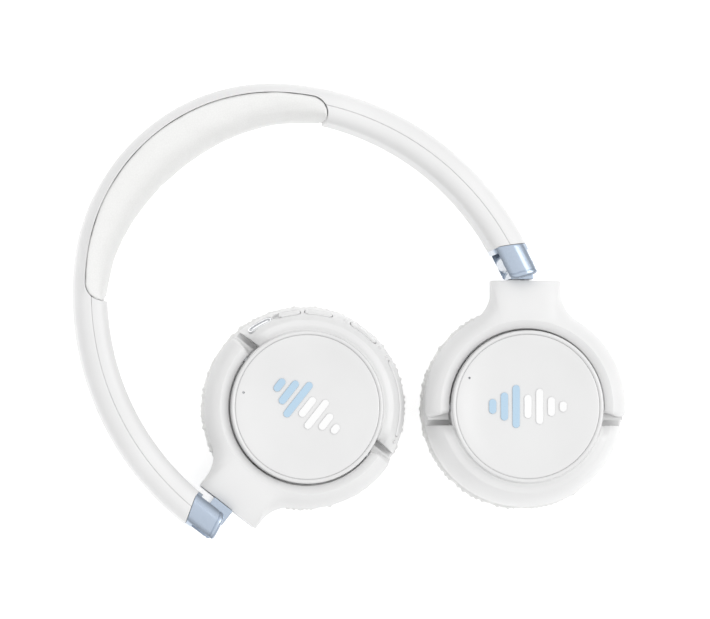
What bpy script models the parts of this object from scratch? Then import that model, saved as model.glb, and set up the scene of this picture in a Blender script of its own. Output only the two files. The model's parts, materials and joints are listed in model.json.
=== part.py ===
"""Foldable wireless on-ear headphones, lying folded on a table with their ear pads down.

The headband is a U in a flat plane. Each arm's end carries a size slider, a fold hinge, a swivel
and a yoke, and the yoke holds a cup by two pivot pins. Every body of the tree has an empty on its
joint's axis, and the pieces are parented to it. Left and right are the wearer's.
"""
import math

import bmesh
import bpy
from mathutils import Vector

MM = 0.001
GAP = 0.3 * MM

# Headband: its outer face is a crown arc that runs on into a wider arc down each arm
CROWN_RADIUS = 67.0 * MM
CROWN_ANGLE = math.radians(43.0)
ARM_RADIUS = 98.9 * MM
ARM_END = math.radians(102.3)
ARM_END_SLANT = math.radians(2.5)
BAND_THICKNESS = 11.2 * MM
BAND_HALF_WIDTH = 12.0 * MM
CROWN_WIDENING = 0.25
BAND_LEVEL = 20.0 * MM
SHELL_CROWN_DEPTH = 3.2 * MM
SHELL_ARM_DEPTH = 5.5 * MM
BAND_STEP = math.radians(6.0)
BAND_EDGE = 1.2 * MM
CHANNEL_HALF_WIDTH = 9.0 * MM
COVER_WALL = 1.8 * MM

# Headband cushion and what lies under it
CUSHION_ANGLE = math.radians(51.6)
CUSHION_BASE_DEPTH = 3.5 * MM
CUSHION_BASE_THICKNESS = 1.2 * MM
CUSHION_BASE_HALF_WIDTH = 10.5 * MM
CUSHION_EDGE = 2.5 * MM
CUSHION_CROWN_DEPTH = 17.8 * MM
CUSHION_END_DEPTH = 11.9 * MM
CUSHION_INSET = 1.0 * MM
INNER_COVER_ANGLE = math.radians(53.4)
SPRING_ANGLE = math.radians(62.0)
SPRING_DEPTH = 2.1 * MM
SPRING_THICKNESS = 0.8 * MM
SPRING_HALF_WIDTH = 6.0 * MM

# Size slider: a curved steel strip, notched every two degrees
STRIP_START = math.radians(66.0)
STRIP_END = ARM_END - math.radians(0.4)
STRIP_DEPTH = 4.5 * MM
STRIP_THICKNESS = 0.8 * MM
STRIP_HALF_WIDTH = 7.0 * MM
NOTCH_STEP = math.radians(2.0)
NOTCH_COUNT = 12
NOTCH_DEPTH = 0.35 * MM
DETENT_START = math.radians(92.0)
DETENT_SPAN = math.radians(6.0)
DETENT_DEPTH = 7.2 * MM
DETENT_CREST = 1.5 * MM
DETENT_THICKNESS = 0.5 * MM
DETENT_HALF_WIDTH = 3.0 * MM

# Fold hinge, in the headband's plane; folds are counted from straight on
PIN_AT = Vector((67.7, -113.2)) * MM
ARM_LEAN = math.radians(13.4)
OPEN_FOLD = math.radians(10.0)
LEFT_FOLD = math.radians(26.0)
RIGHT_FOLD = math.radians(89.0)
HOUSING_REACH = 6.4 * MM
HOUSING_OUTWARD = 6.6 * MM
HOUSING_INWARD = 4.6 * MM
HOUSING_EDGE = 0.9 * MM
CHEEK_INSIDE = 10.3 * MM
KNUCKLE_HALF_WIDTH = 10.0 * MM
BARREL_RADIUS = 3.4 * MM
KNUCKLE_INNER = -1.0 * MM
KNUCKLE_OUTER = 6.8 * MM
PIN_RADIUS = 1.5 * MM
PIN_HALF_LENGTH = 11.2 * MM

# Swivel and yoke; the cup's centre is the origin of the yoke's and the cup's own plane
SWIVEL_OFFSET = 4.8 * MM
SWIVEL_LEVEL = 20.2 * MM
CUP_REACH = 49.6 * MM
SHAFT_RADIUS = 1.5 * MM
CLIP_RADIUS = 2.4 * MM
NECK_END = 42.9 * MM
NECK_HALF = 12.0 * MM
NECK_FILLET = 12.0 * MM
NECK_START = 36.5 * MM
NECK_LOW = 14.2 * MM
NECK_HIGH = 26.5 * MM
YOKE_OUTER = 34.3 * MM
YOKE_INNER = 26.6 * MM
YOKE_ARM_END = 4.4 * MM
YOKE_LOW = 20.2 * MM
YOKE_SPLIT = 22.6 * MM
YOKE_HIGH = 28.5 * MM
YOKE_EDGE = 0.9 * MM
FRAME_INSET = 0.7 * MM

# Cup, level by level above the table
PIVOT_LEVEL = 25.0 * MM
PIVOT_RADIUS = 1.2 * MM
PAD_OUTER = 34.6 * MM
PAD_INNER = 16.0 * MM
PAD_HEIGHT = 13.0 * MM
HOUSING_LOW = 13.3 * MM
FLANGE_HIGH = 16.2 * MM
HOUSING_OUTER = 34.0 * MM
DRUM_RADIUS = 25.3 * MM
DRUM_WALL = 1.5 * MM
DRUM_HIGH = 29.4 * MM
CRESCENT_HIGH = 27.0 * MM
CRESCENT_TOP_EDGE = 6.4 * MM
CAP_LOW = 29.7 * MM
CAP_RADIUS = 24.4 * MM
TRIM_OUTER = 25.6 * MM
BAFFLE_HIGH = 14.7 * MM
DRIVER_HOLE = 13.5 * MM

# Controls on the right cup's rim, as angles from the side away from the neck
RIM_RADIUS = 33.0 * MM
BUTTON_INNER = 31.4 * MM
BUTTON_OUTER = 34.5 * MM
BUTTON_LOW = 20.6 * MM
BUTTON_HIGH = 25.0 * MM
SWITCH_TRAVEL = 2.0 * MM
USB_ANGLE = math.radians(67.5)
USB_SIZE = Vector((5.0, 8.6, 3.2)) * MM
USB_RADIUS = 30.0 * MM
USB_WALL = 0.6 * MM
USB_BACK = 1.6 * MM
RIM_CONTROLS = {
    "power_switch": (math.radians(50.0), 7.6 * MM),
    "function_button": (math.radians(30.5), 9.6 * MM),
    "play_button": (math.radians(0.6), 11.0 * MM),
    "volume_rocker": (math.radians(-46.0), 26.8 * MM),
}

# Where the crown stands and how far the headband is turned, so that the origin is under the middle
CROWN_AT = Vector((-69.197, 62.709)) * MM
HEADBAND_TURN = math.radians(39.2)

ROUND = 40
FINE = 16

FINISHES = {
    "white_plastic": ((0.86, 0.86, 0.87), 0.38, 0.0),
    "gloss_white": ((0.88, 0.88, 0.89), 0.15, 0.0),
    "white_leather": ((0.84, 0.84, 0.84), 0.6, 0.0),
    "white_cloth": ((0.75, 0.75, 0.76), 0.9, 0.0),
    "grey_plastic": ((0.35, 0.36, 0.38), 0.5, 0.0),
    "blue_metal": ((0.50, 0.61, 0.73), 0.25, 0.85),
    "steel": ((0.62, 0.62, 0.63), 0.3, 1.0),
    "magnet": ((0.45, 0.45, 0.46), 0.35, 1.0),
    "board": ((0.05, 0.22, 0.10), 0.5, 0.0),
    "battery": ((0.55, 0.57, 0.60), 0.4, 0.3),
    "film": ((0.70, 0.72, 0.74), 0.3, 0.0),
}


# ---------------------------------------------------------------- scene and helpers

def clear_scene():
    for obj in list(bpy.data.objects):
        bpy.data.objects.remove(obj, do_unlink=True)
    for group in list(bpy.data.collections):
        bpy.data.collections.remove(group)


def new_collection(name):
    group = bpy.data.collections.new(name)
    bpy.context.scene.collection.children.link(group)
    return group


clear_scene()
HEADPHONES = new_collection("on_ear_headphones")
CUTTERS = new_collection("cutters")


def finish(piece, finish_name):
    """Give a piece its own material and smooth shading on its round faces."""
    color, roughness, metallic = FINISHES[finish_name]
    material = bpy.data.materials.new(piece.name)
    material.use_nodes = True
    shader = material.node_tree.nodes["Principled BSDF"]
    shader.inputs["Base Color"].default_value = (*color, 1.0)
    shader.inputs["Roughness"].default_value = roughness
    shader.inputs["Metallic"].default_value = metallic
    piece.data.materials.clear()
    piece.data.materials.append(material)
    piece.data.shade_smooth()
    piece.data.set_sharp_from_angle(angle=math.radians(35.0))
    return piece


def frozen(source, name):
    """A clean closed mesh object from a curve or from an object with modifiers."""
    bpy.context.view_layer.update()
    evaluated = source.evaluated_get(bpy.context.evaluated_depsgraph_get())
    mesh = bpy.data.meshes.new_from_object(evaluated)
    tidy = bmesh.new()
    tidy.from_mesh(mesh)
    bmesh.ops.remove_doubles(tidy, verts=tidy.verts, dist=0.002 * MM)
    bmesh.ops.recalc_face_normals(tidy, faces=tidy.faces)
    tidy.to_mesh(mesh)
    tidy.free()
    piece = bpy.data.objects.new(name, mesh)
    HEADPHONES.objects.link(piece)
    bpy.data.objects.remove(source, do_unlink=True)
    piece.name = name
    mesh.name = name
    return piece


def plate(name, outline, low, high, edge=0.0):
    """A flat outline made thick between two levels, with its edges rounded by edge."""
    curve = bpy.data.curves.new(name, "CURVE")
    curve.dimensions = "2D"
    curve.fill_mode = "BOTH"
    curve.extrude = (high - low) / 2 - edge
    curve.bevel_depth = edge
    curve.bevel_resolution = 0
    curve.offset = -edge
    line = curve.splines.new("POLY")
    line.points.add(len(outline) - 1)
    for spot, corner in zip(line.points, outline):
        spot.co = (corner[0], corner[1], 0.0, 1.0)
    line.use_cyclic_u = True
    source = bpy.data.objects.new(name + "_outline", curve)
    HEADPHONES.objects.link(source)
    piece = frozen(source, name)
    piece.location.z = (low + high) / 2
    return piece


def turned(name, profile, sides=ROUND):
    """A profile of (radius, level) corners, turned about the cup's axis."""
    mesh = bpy.data.meshes.new(name + "_profile")
    corners = [(radius, 0.0, level) for radius, level in profile]
    edges = [(i, i + 1) for i in range(len(corners) - 1)]
    if profile[0][0] > 0.0:
        edges.append((len(corners) - 1, 0))
    mesh.from_pydata(corners, edges, [])
    source = bpy.data.objects.new(name + "_profile", mesh)
    HEADPHONES.objects.link(source)
    screw = source.modifiers.new("turn", "SCREW")
    screw.steps = sides
    screw.render_steps = sides
    screw.use_merge_vertices = True
    screw.merge_threshold = 0.002 * MM
    return frozen(source, name)


def bar(name, radius, length, along, sides=FINE):
    """A round bar along X, Y or Z, centred on its own origin."""
    mesh = bpy.data.meshes.new(name)
    shape = bmesh.new()
    bmesh.ops.create_cone(shape, cap_ends=True, segments=sides, radius1=radius,
                          radius2=radius, depth=length)
    shape.to_mesh(mesh)
    shape.free()
    piece = bpy.data.objects.new(name, mesh)
    HEADPHONES.objects.link(piece)
    if along == "X":
        piece.rotation_euler.y = math.pi / 2
    if along == "Y":
        piece.rotation_euler.x = math.pi / 2
    return piece


def block(name, size, edge=0.0):
    """A box with rounded edges, centred on its own origin."""
    mesh = bpy.data.meshes.new(name)
    shape = bmesh.new()
    bmesh.ops.create_cube(shape, size=1.0)
    bmesh.ops.scale(shape, vec=size, verts=shape.verts)
    shape.to_mesh(mesh)
    shape.free()
    piece = bpy.data.objects.new(name, mesh)
    HEADPHONES.objects.link(piece)
    if edge > 0.0:
        bevel = piece.modifiers.new("round_edges", "BEVEL")
        bevel.width = edge
        bevel.segments = 2
    return piece


def axis_frame(name, parent, x, y, level, turn=0.0):
    """An empty on a joint's axis; level is its height above the table."""
    empty = bpy.data.objects.new(name, None)
    empty.empty_display_size = 10 * MM
    HEADPHONES.objects.link(empty)
    empty.parent = parent
    empty.location = (x, y, level - height_of(parent))
    empty.rotation_euler.z = turn
    return empty


def height_of(frame):
    """How high a frame stands: every frame is only turned about the vertical."""
    height = 0.0
    while frame is not None:
        height += frame.location.z
        frame = frame.parent
    return height


def place(piece, frame, x=0.0, y=0.0):
    """Parent a piece, made at its true levels, to a frame."""
    piece.parent = frame
    piece.location = (piece.location.x + x, piece.location.y + y, piece.location.z - height_of(frame))
    return piece


def cut(piece, cutter, operation="DIFFERENCE"):
    """Cut a piece with a cutter, or join the two with UNION."""
    cutter.parent = piece.parent
    HEADPHONES.objects.unlink(cutter)
    CUTTERS.objects.link(cutter)
    cutter.hide_render = True
    cutter.display_type = "WIRE"
    boolean = piece.modifiers.new(cutter.name, "BOOLEAN")
    boolean.operation = operation
    boolean.solver = "EXACT"
    boolean.object = cutter


def level_cutter(cutter, frame, x=0.0, y=0.0, level=None):
    """Bring a cutter to its place in a piece's frame."""
    if level is not None:
        cutter.location.z = level
    cutter.location.x += x
    cutter.location.y += y
    cutter.location.z -= height_of(frame)
    return cutter


def arc(centre, radius, start, end, steps):
    """Corners along an arc, both ends included."""
    turns = [start + (end - start) * i / steps for i in range(steps + 1)]
    return [Vector((centre[0] + radius * math.cos(t), centre[1] + radius * math.sin(t)))
            for t in turns]


def spread(start, end, step):
    """Evenly spread values from start to end, about one step apart."""
    count = max(1, round(abs(end - start) / step))
    return [start + (end - start) * i / count for i in range(count + 1)]


# ---------------------------------------------------------------- the headband's curve

def arm_centre(side):
    """Centre of an arm's arc, which is also the axis that its size slider turns about."""
    offset = ARM_RADIUS - CROWN_RADIUS
    return Vector((-side * offset * math.sin(CROWN_ANGLE),
                   -CROWN_RADIUS - offset * math.cos(CROWN_ANGLE)))


def band_point(angle, depth):
    """A point of the band, by its angle from the crown and its depth under the outer face."""
    side = 1.0 if angle >= 0.0 else -1.0
    if abs(angle) <= CROWN_ANGLE:
        centre = Vector((0.0, -CROWN_RADIUS))
        radius = CROWN_RADIUS - depth
    else:
        centre = arm_centre(side)
        radius = ARM_RADIUS - depth
    return centre + radius * Vector((side * math.sin(abs(angle)), math.cos(angle)))


def arm_end(depth):
    """The arm is cut off on a slant: its inner face ends a little sooner."""
    return ARM_END - ARM_END_SLANT * depth / BAND_THICKNESS


def band_outline(outer, inner):
    """Join two runs of (angle, depth) pairs into one outline of the band."""
    run = [band_point(angle, depth) for angle, depth in outer]
    return run + [band_point(angle, depth) for angle, depth in reversed(inner)]


def widen_over_crown(piece):
    """The band is wider over the crown than in its arms."""
    for spot in piece.data.vertices:
        angle = math.atan2(abs(spot.co.x), spot.co.y + CROWN_RADIUS)
        share = max(0.0, math.cos(0.9 * angle)) ** 2
        spot.co.z *= 1.0 + CROWN_WIDENING * share


def cushion_depth(angle):
    share = math.cos(math.pi / 2 * angle / CUSHION_ANGLE)
    return CUSHION_END_DEPTH + (CUSHION_CROWN_DEPTH - CUSHION_END_DEPTH) * share


# ---------------------------------------------------------------- headband pieces

def make_outer_shell(frame):
    outer_end = arm_end(0.0)
    inner_end = arm_end(SHELL_ARM_DEPTH)
    step_angle = (CUSHION_ANGLE + INNER_COVER_ANGLE) / 2
    outer = [(a, 0.0) for a in spread(-outer_end, outer_end, BAND_STEP)]
    crown = [(a, SHELL_CROWN_DEPTH) for a in spread(-step_angle, step_angle, BAND_STEP)]
    arm = [(a, SHELL_ARM_DEPTH) for a in spread(step_angle + 0.01, inner_end, BAND_STEP)]
    other_arm = [(-a, depth) for a, depth in reversed(arm)]
    shell = plate("headband_outer_shell", band_outline(outer, other_arm + crown + arm),
                  BAND_LEVEL - BAND_HALF_WIDTH, BAND_LEVEL + BAND_HALF_WIDTH, BAND_EDGE)
    widen_over_crown(shell)
    place(shell, frame)
    channel = band_strip("spring_channel", -SPRING_ANGLE - 0.04, SPRING_ANGLE + 0.04,
                         SPRING_DEPTH - GAP, SHELL_ARM_DEPTH + MM, CHANNEL_HALF_WIDTH)
    cut(shell, level_cutter(channel, frame))
    for side, word in ((1.0, "left"), (-1.0, "right")):
        start = side * (STRIP_START - 0.03)
        channel = band_strip(word + "_slider_channel", start, side * (ARM_END + 0.05),
                             STRIP_DEPTH - GAP, SHELL_ARM_DEPTH + MM, STRIP_HALF_WIDTH + 0.5 * MM)
        cut(shell, level_cutter(channel, frame))
    return finish(shell, "white_plastic")


def band_strip(name, start, end, top, bottom, half_width, edge=0.0):
    """A plain strip along the band between two angles and two depths."""
    angles = spread(start, end, BAND_STEP)
    outline = band_outline([(a, top) for a in angles], [(a, bottom) for a in angles])
    return plate(name, outline, BAND_LEVEL - half_width, BAND_LEVEL + half_width, edge)


def make_inner_cover(word, side, frame):
    top = SHELL_ARM_DEPTH + GAP
    outer = [(side * a, top) for a in spread(INNER_COVER_ANGLE, arm_end(top), BAND_STEP)]
    inner_end = arm_end(BAND_THICKNESS)
    inner = [(side * a, BAND_THICKNESS) for a in spread(INNER_COVER_ANGLE, inner_end, BAND_STEP)]
    cover = plate(word + "_inner_cover", band_outline(outer, inner),
                  BAND_LEVEL - BAND_HALF_WIDTH, BAND_LEVEL + BAND_HALF_WIDTH, BAND_EDGE)
    widen_over_crown(cover)
    place(cover, frame)
    hollow = band_strip(word + "_cover_hollow", side * (INNER_COVER_ANGLE + 0.05),
                        side * (arm_end(BAND_THICKNESS) - 0.03), SHELL_ARM_DEPTH - MM,
                        BAND_THICKNESS - COVER_WALL, CHANNEL_HALF_WIDTH)
    cut(cover, level_cutter(hollow, frame))
    return finish(cover, "white_plastic")


def make_cushion(frame):
    angles = spread(-CUSHION_ANGLE, CUSHION_ANGLE, BAND_STEP)
    top = CUSHION_BASE_DEPTH + CUSHION_BASE_THICKNESS + GAP
    outline = band_outline([(a, top) for a in angles], [(a, cushion_depth(a)) for a in angles])
    half_width = BAND_HALF_WIDTH - CUSHION_INSET
    cushion = plate("headband_cushion", outline, BAND_LEVEL - half_width,
                    BAND_LEVEL + half_width, CUSHION_EDGE)
    widen_over_crown(cushion)
    place(cushion, frame)
    return finish(cushion, "white_leather")


def make_cushion_base(frame):
    angle = CUSHION_ANGLE - 0.01
    base = band_strip("cushion_base", -angle, angle, CUSHION_BASE_DEPTH,
                      CUSHION_BASE_DEPTH + CUSHION_BASE_THICKNESS,
                      CUSHION_BASE_HALF_WIDTH)
    place(base, frame)
    return finish(base, "grey_plastic")


def make_spring_band(frame):
    spring = band_strip("spring_band", -SPRING_ANGLE, SPRING_ANGLE, SPRING_DEPTH,
                        SPRING_DEPTH + SPRING_THICKNESS, SPRING_HALF_WIDTH)
    place(spring, frame)
    return finish(spring, "steel")


def make_detent_spring(word, side, frame):
    """A bowed leaf in the inner cover, whose crest clicks into the strip's notches."""
    run = []
    for i in range(9):
        share = i / 8
        crest = math.sin(math.pi * share)
        run.append((side * (DETENT_START + share * DETENT_SPAN), DETENT_DEPTH - DETENT_CREST * crest))
    inner = [(angle, depth + DETENT_THICKNESS) for angle, depth in run]
    leaf = plate(word + "_detent_spring", band_outline(run, inner),
                 BAND_LEVEL - DETENT_HALF_WIDTH, BAND_LEVEL + DETENT_HALF_WIDTH)
    place(leaf, frame)
    return finish(leaf, "steel")


# ---------------------------------------------------------------- size slider and fold hinge

def pin_point(side):
    """The fold pin's place in the headband's plane."""
    return Vector((side * PIN_AT.x, PIN_AT.y))


def hinge_point(side, axial, outward):
    """A point by its distance from the pin, out of the arm and away from the head."""
    along = Vector((-math.sin(ARM_LEAN), -math.cos(ARM_LEAN)))
    across = Vector((math.cos(ARM_LEAN), -math.sin(ARM_LEAN)))
    spot = PIN_AT + axial * along + outward * across
    return Vector((side * spot.x, spot.y))


def from_arm_centre(side, points):
    return [point - arm_centre(side) for point in points]


def make_slider_strip(word, side, frame):
    top = [(side * a, STRIP_DEPTH) for a in spread(STRIP_START, STRIP_END, BAND_STEP)]
    bottom_depth = STRIP_DEPTH + STRIP_THICKNESS
    bottom = [(side * STRIP_START, bottom_depth)]
    for i in range(NOTCH_COUNT):
        middle = STRIP_START + NOTCH_STEP * (i + 1)
        bottom.append((side * (middle - NOTCH_STEP / 4), bottom_depth))
        bottom.append((side * middle, bottom_depth - NOTCH_DEPTH))
        bottom.append((side * (middle + NOTCH_STEP / 4), bottom_depth))
    last_notch = STRIP_START + NOTCH_STEP * (NOTCH_COUNT + 1)
    bottom += [(side * a, bottom_depth) for a in spread(last_notch, STRIP_END, BAND_STEP / 2)]
    outline = from_arm_centre(side, band_outline(top, bottom))
    strip = plate(word + "_slider_strip", outline, BAND_LEVEL - STRIP_HALF_WIDTH,
                  BAND_LEVEL + STRIP_HALF_WIDTH)
    place(strip, frame)
    return finish(strip, "steel")


def housing_outline(side):
    """The hinge housing seen along its pin: flush with the arm, and cut back round the pin."""
    clear = GAP / ARM_RADIUS + 0.002
    band_side = [band_point(side * (arm_end(0.0) + clear), 0.0),
                 band_point(side * (arm_end(BAND_THICKNESS) + clear), BAND_THICKNESS)]
    end_corner = (HOUSING_REACH + HOUSING_OUTWARD * math.sin(OPEN_FOLD)) / math.cos(OPEN_FOLD)
    last_turn = math.asin(HOUSING_INWARD / HOUSING_REACH)
    nose = [hinge_point(side, HOUSING_REACH * math.cos(t), -HOUSING_REACH * math.sin(t))
            for t in spread(OPEN_FOLD, last_turn, math.radians(9.0))]
    return [band_side[0], hinge_point(side, end_corner, HOUSING_OUTWARD)] + nose + [band_side[1]]


def make_hinge_housing(word, side, frame):
    outline = from_arm_centre(side, housing_outline(side))
    housing = plate(word + "_hinge_housing", outline, BAND_LEVEL - BAND_HALF_WIDTH,
                    BAND_LEVEL + BAND_HALF_WIDTH, HOUSING_EDGE)
    place(housing, frame)
    pocket_corners = [(-4.4, -12), (-4.4, 0), (-3.3, 2.4), (-1.6, 3.9), (-1.2, 4.2), (-1.2, 12),
                      (14, 12), (14, -12)]
    pocket = plate(word + "_knuckle_pocket",
                   from_arm_centre(side, [hinge_point(side, a * MM, t * MM)
                                          for a, t in pocket_corners]),
                   BAND_LEVEL - CHEEK_INSIDE, BAND_LEVEL + CHEEK_INSIDE)
    cut(housing, level_cutter(pocket, frame))
    slot_angles = [ARM_END - 0.08, ARM_END + 0.06]
    slot_outline = band_outline([(side * a, STRIP_DEPTH - GAP) for a in slot_angles],
                                [(side * a, STRIP_DEPTH + STRIP_THICKNESS + GAP)
                                 for a in slot_angles])
    slot = plate(word + "_strip_slot", from_arm_centre(side, slot_outline),
                 BAND_LEVEL - STRIP_HALF_WIDTH - GAP, BAND_LEVEL + STRIP_HALF_WIDTH + GAP)
    cut(housing, level_cutter(slot, frame))
    pin_spot = pin_point(side) - arm_centre(side)
    hole = bar(word + "_housing_pin_hole", PIN_RADIUS + GAP, 2 * (PIN_HALF_LENGTH + GAP), "Z")
    cut(housing, level_cutter(hole, frame, pin_spot.x, pin_spot.y, BAND_LEVEL))
    return finish(housing, "blue_metal")


def make_fold_pin(word, side, frame):
    pin = bar(word + "_fold_pin", PIN_RADIUS, 2 * PIN_HALF_LENGTH, "Z")
    pin.location.z = BAND_LEVEL
    spot = pin_point(side) - arm_centre(side)
    place(pin, frame, spot.x, spot.y)
    return finish(pin, "steel")


def make_knuckle(word, side, frame):
    """The block that turns on the fold pin and holds the swivel shaft."""
    barrel = arc((0.0, 0.0), BARREL_RADIUS, math.radians(60), math.radians(250), 12)
    end_face = -HOUSING_REACH
    block_corners = [Vector((KNUCKLE_INNER, -3.7 * MM)), Vector((KNUCKLE_INNER, end_face)),
                     Vector((KNUCKLE_OUTER, end_face)), Vector((KNUCKLE_OUTER, -0.4 * MM))]
    outline = [Vector((side * p.x, p.y)) for p in barrel + block_corners]
    knuckle = plate(word + "_hinge_knuckle", outline, BAND_LEVEL - KNUCKLE_HALF_WIDTH,
                    BAND_LEVEL + KNUCKLE_HALF_WIDTH, 0.4 * MM)
    place(knuckle, frame)
    hole = bar(word + "_knuckle_pin_hole", PIN_RADIUS + GAP, 3 * KNUCKLE_HALF_WIDTH, "Z")
    cut(knuckle, level_cutter(hole, frame, level=BAND_LEVEL))
    bore = bar(word + "_shaft_bore", SHAFT_RADIUS + GAP, 8 * MM, "Y")
    cut(knuckle, level_cutter(bore, frame, side * SWIVEL_OFFSET, -5.5 * MM, SWIVEL_LEVEL))
    return finish(knuckle, "blue_metal")


def make_swivel_shaft(word, side, frame):
    top = -1.8 * MM
    bottom = -CUP_REACH + NECK_START - 1.1 * MM
    shaft = bar(word + "_swivel_shaft", SHAFT_RADIUS, top - bottom, "Y")
    shaft.location.z = SWIVEL_LEVEL
    place(shaft, frame, side * SWIVEL_OFFSET, (top + bottom) / 2)
    return finish(shaft, "steel")


def make_swivel_clip(word, side, frame):
    """The ring on the shaft's end, which keeps the yoke on it."""
    clip = turned(word + "_swivel_clip", [(CLIP_RADIUS, 0.4 * MM), (CLIP_RADIUS, -0.4 * MM),
                                          (SHAFT_RADIUS + 0.25 * MM, -0.4 * MM),
                                          (SHAFT_RADIUS + 0.25 * MM, 0.4 * MM)], FINE)
    clip.rotation_euler.x = math.pi / 2
    clip.location.z = SWIVEL_LEVEL
    place(clip, frame, side * SWIVEL_OFFSET, -CUP_REACH + NECK_START - 0.7 * MM)
    return finish(clip, "steel")


# ---------------------------------------------------------------- yoke

def yoke_outline(outer, inner, neck_half):
    """A horseshoe round the cap, flaring into the neck with a fillet on each side."""
    fillet_x = neck_half + NECK_FILLET
    fillet_y = math.sqrt((outer + NECK_FILLET) ** 2 - fillet_x ** 2)
    join = math.atan2(fillet_y, fillet_x)
    arm = math.asin(YOKE_ARM_END / outer)
    right = arc((0.0, 0.0), outer, -arm, join, 9)
    right += arc((fillet_x, fillet_y), NECK_FILLET, join + math.pi, math.pi, 5)
    right.append(Vector((neck_half, NECK_END)))
    left = [Vector((-p.x, p.y)) for p in reversed(right)]
    inner_arm = math.asin(YOKE_ARM_END / inner)
    inside = arc((0.0, 0.0), inner, math.pi + inner_arm, -inner_arm, 24)
    return right + left + inside


def make_yoke_frame(word, frame):
    """The carrier under the cover, with the block that turns on the swivel shaft."""
    carrier = plate(word + "_yoke_frame",
                    yoke_outline(YOKE_OUTER - FRAME_INSET, YOKE_INNER, NECK_HALF - FRAME_INSET),
                    YOKE_LOW, YOKE_SPLIT)
    place(carrier, frame)
    depth = NECK_END - NECK_START
    neck = block(word + "_neck_block",
                 (2 * (NECK_HALF - FRAME_INSET), depth, YOKE_SPLIT - NECK_LOW - 0.05 * MM))
    level_cutter(neck, frame, 0.0, NECK_START + depth / 2,
                 (NECK_LOW + YOKE_SPLIT) / 2 - 0.025 * MM)
    cut(carrier, neck, "UNION")
    bore = bar(word + "_neck_bore", SHAFT_RADIUS + GAP, 20 * MM, "Y")
    cut(carrier, level_cutter(bore, frame, 0.0, NECK_END, SWIVEL_LEVEL))
    seat = block(word + "_clip_seat", (6.4 * MM, 1.9 * MM, 12 * MM))
    cut(carrier, level_cutter(seat, frame, 0.0, NECK_START - 0.65 * MM, SWIVEL_LEVEL))
    return finish(carrier, "white_plastic")


def make_yoke_cover(word, frame):
    cover = plate(word + "_yoke_cover", yoke_outline(YOKE_OUTER, YOKE_INNER, NECK_HALF),
                  YOKE_SPLIT + GAP, YOKE_HIGH, YOKE_EDGE)
    place(cover, frame)
    step = block(word + "_neck_step", (40 * MM, 20 * MM, 6 * MM))
    cut(cover, level_cutter(step, frame, 0.0, 47.5 * MM, NECK_HIGH + 3 * MM))
    hole = bar(word + "_arm_holes", PIVOT_RADIUS + GAP, 2 * (YOKE_INNER + 4.7 * MM), "X")
    cut(cover, level_cutter(hole, frame, level=PIVOT_LEVEL))
    return finish(cover, "white_plastic")


def make_pivot_pin(name, direction, frame):
    inside = DRUM_RADIUS - DRUM_WALL - 0.6 * MM
    outside = YOKE_INNER + 4.4 * MM
    pin = bar(name, PIVOT_RADIUS, outside - inside, "X")
    pin.location.z = PIVOT_LEVEL
    place(pin, frame, direction * (inside + outside) / 2)
    return finish(pin, "steel")


# ---------------------------------------------------------------- cup

def crescent(outer, inner, edge_line):
    """The part of the cup's rim away from the neck, beyond a line across the cup."""
    outer_turn = math.asin(edge_line / outer)
    inner_turn = math.asin(edge_line / inner)
    run = arc((0.0, 0.0), outer, outer_turn - math.pi, -outer_turn, 20)
    return run + arc((0.0, 0.0), inner, -inner_turn, inner_turn - math.pi, 16)


def rim_sector(middle, length, inner, outer):
    """A stretch of the rim, by its middle's angle from the side away from the neck."""
    half = length / 2 / RIM_RADIUS
    centre = middle - math.pi / 2
    steps = max(3, round(length / (3 * MM)))
    run = arc((0.0, 0.0), outer, centre - half, centre + half, steps)
    return run + arc((0.0, 0.0), inner, centre + half, centre - half, steps)


def rim_spot(middle, radius):
    turn = middle - math.pi / 2
    return Vector((radius * math.cos(turn), radius * math.sin(turn)))


def make_cup_housing(word, frame):
    inner_drum = DRUM_RADIUS - DRUM_WALL
    rim_inner = HOUSING_OUTER - 1.8 * MM
    under_flange = 15.0 * MM
    profile = [(inner_drum, DRUM_HIGH), (DRUM_RADIUS, DRUM_HIGH), (DRUM_RADIUS, 17.0 * MM),
               (26.1 * MM, FLANGE_HIGH), (33.2 * MM, FLANGE_HIGH), (HOUSING_OUTER, 15.4 * MM),
               (HOUSING_OUTER, HOUSING_LOW), (rim_inner, HOUSING_LOW), (rim_inner, under_flange),
               (inner_drum, under_flange)]
    housing = turned(word + "_cup_housing", profile)
    place(housing, frame)
    rise = plate(word + "_rim_rise", crescent(HOUSING_OUTER - 0.1 * MM, 24.6 * MM,
                                              CRESCENT_TOP_EDGE),
                 FLANGE_HIGH - 0.5 * MM, CRESCENT_HIGH, 0.35 * MM)
    cut(housing, level_cutter(rise, frame), "UNION")
    hollow = plate(word + "_rim_hollow", crescent(32.2 * MM, 26.8 * MM, 8.4 * MM),
                   HOUSING_LOW - 3 * MM, CRESCENT_HIGH - 1.6 * MM)
    cut(housing, level_cutter(hollow, frame))
    hole = bar(word + "_drum_holes", PIVOT_RADIUS + GAP, 70 * MM, "X")
    cut(housing, level_cutter(hole, frame, level=PIVOT_LEVEL))
    if word == "right":
        cut_control_windows(housing, frame)
    return finish(housing, "white_plastic")


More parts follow.
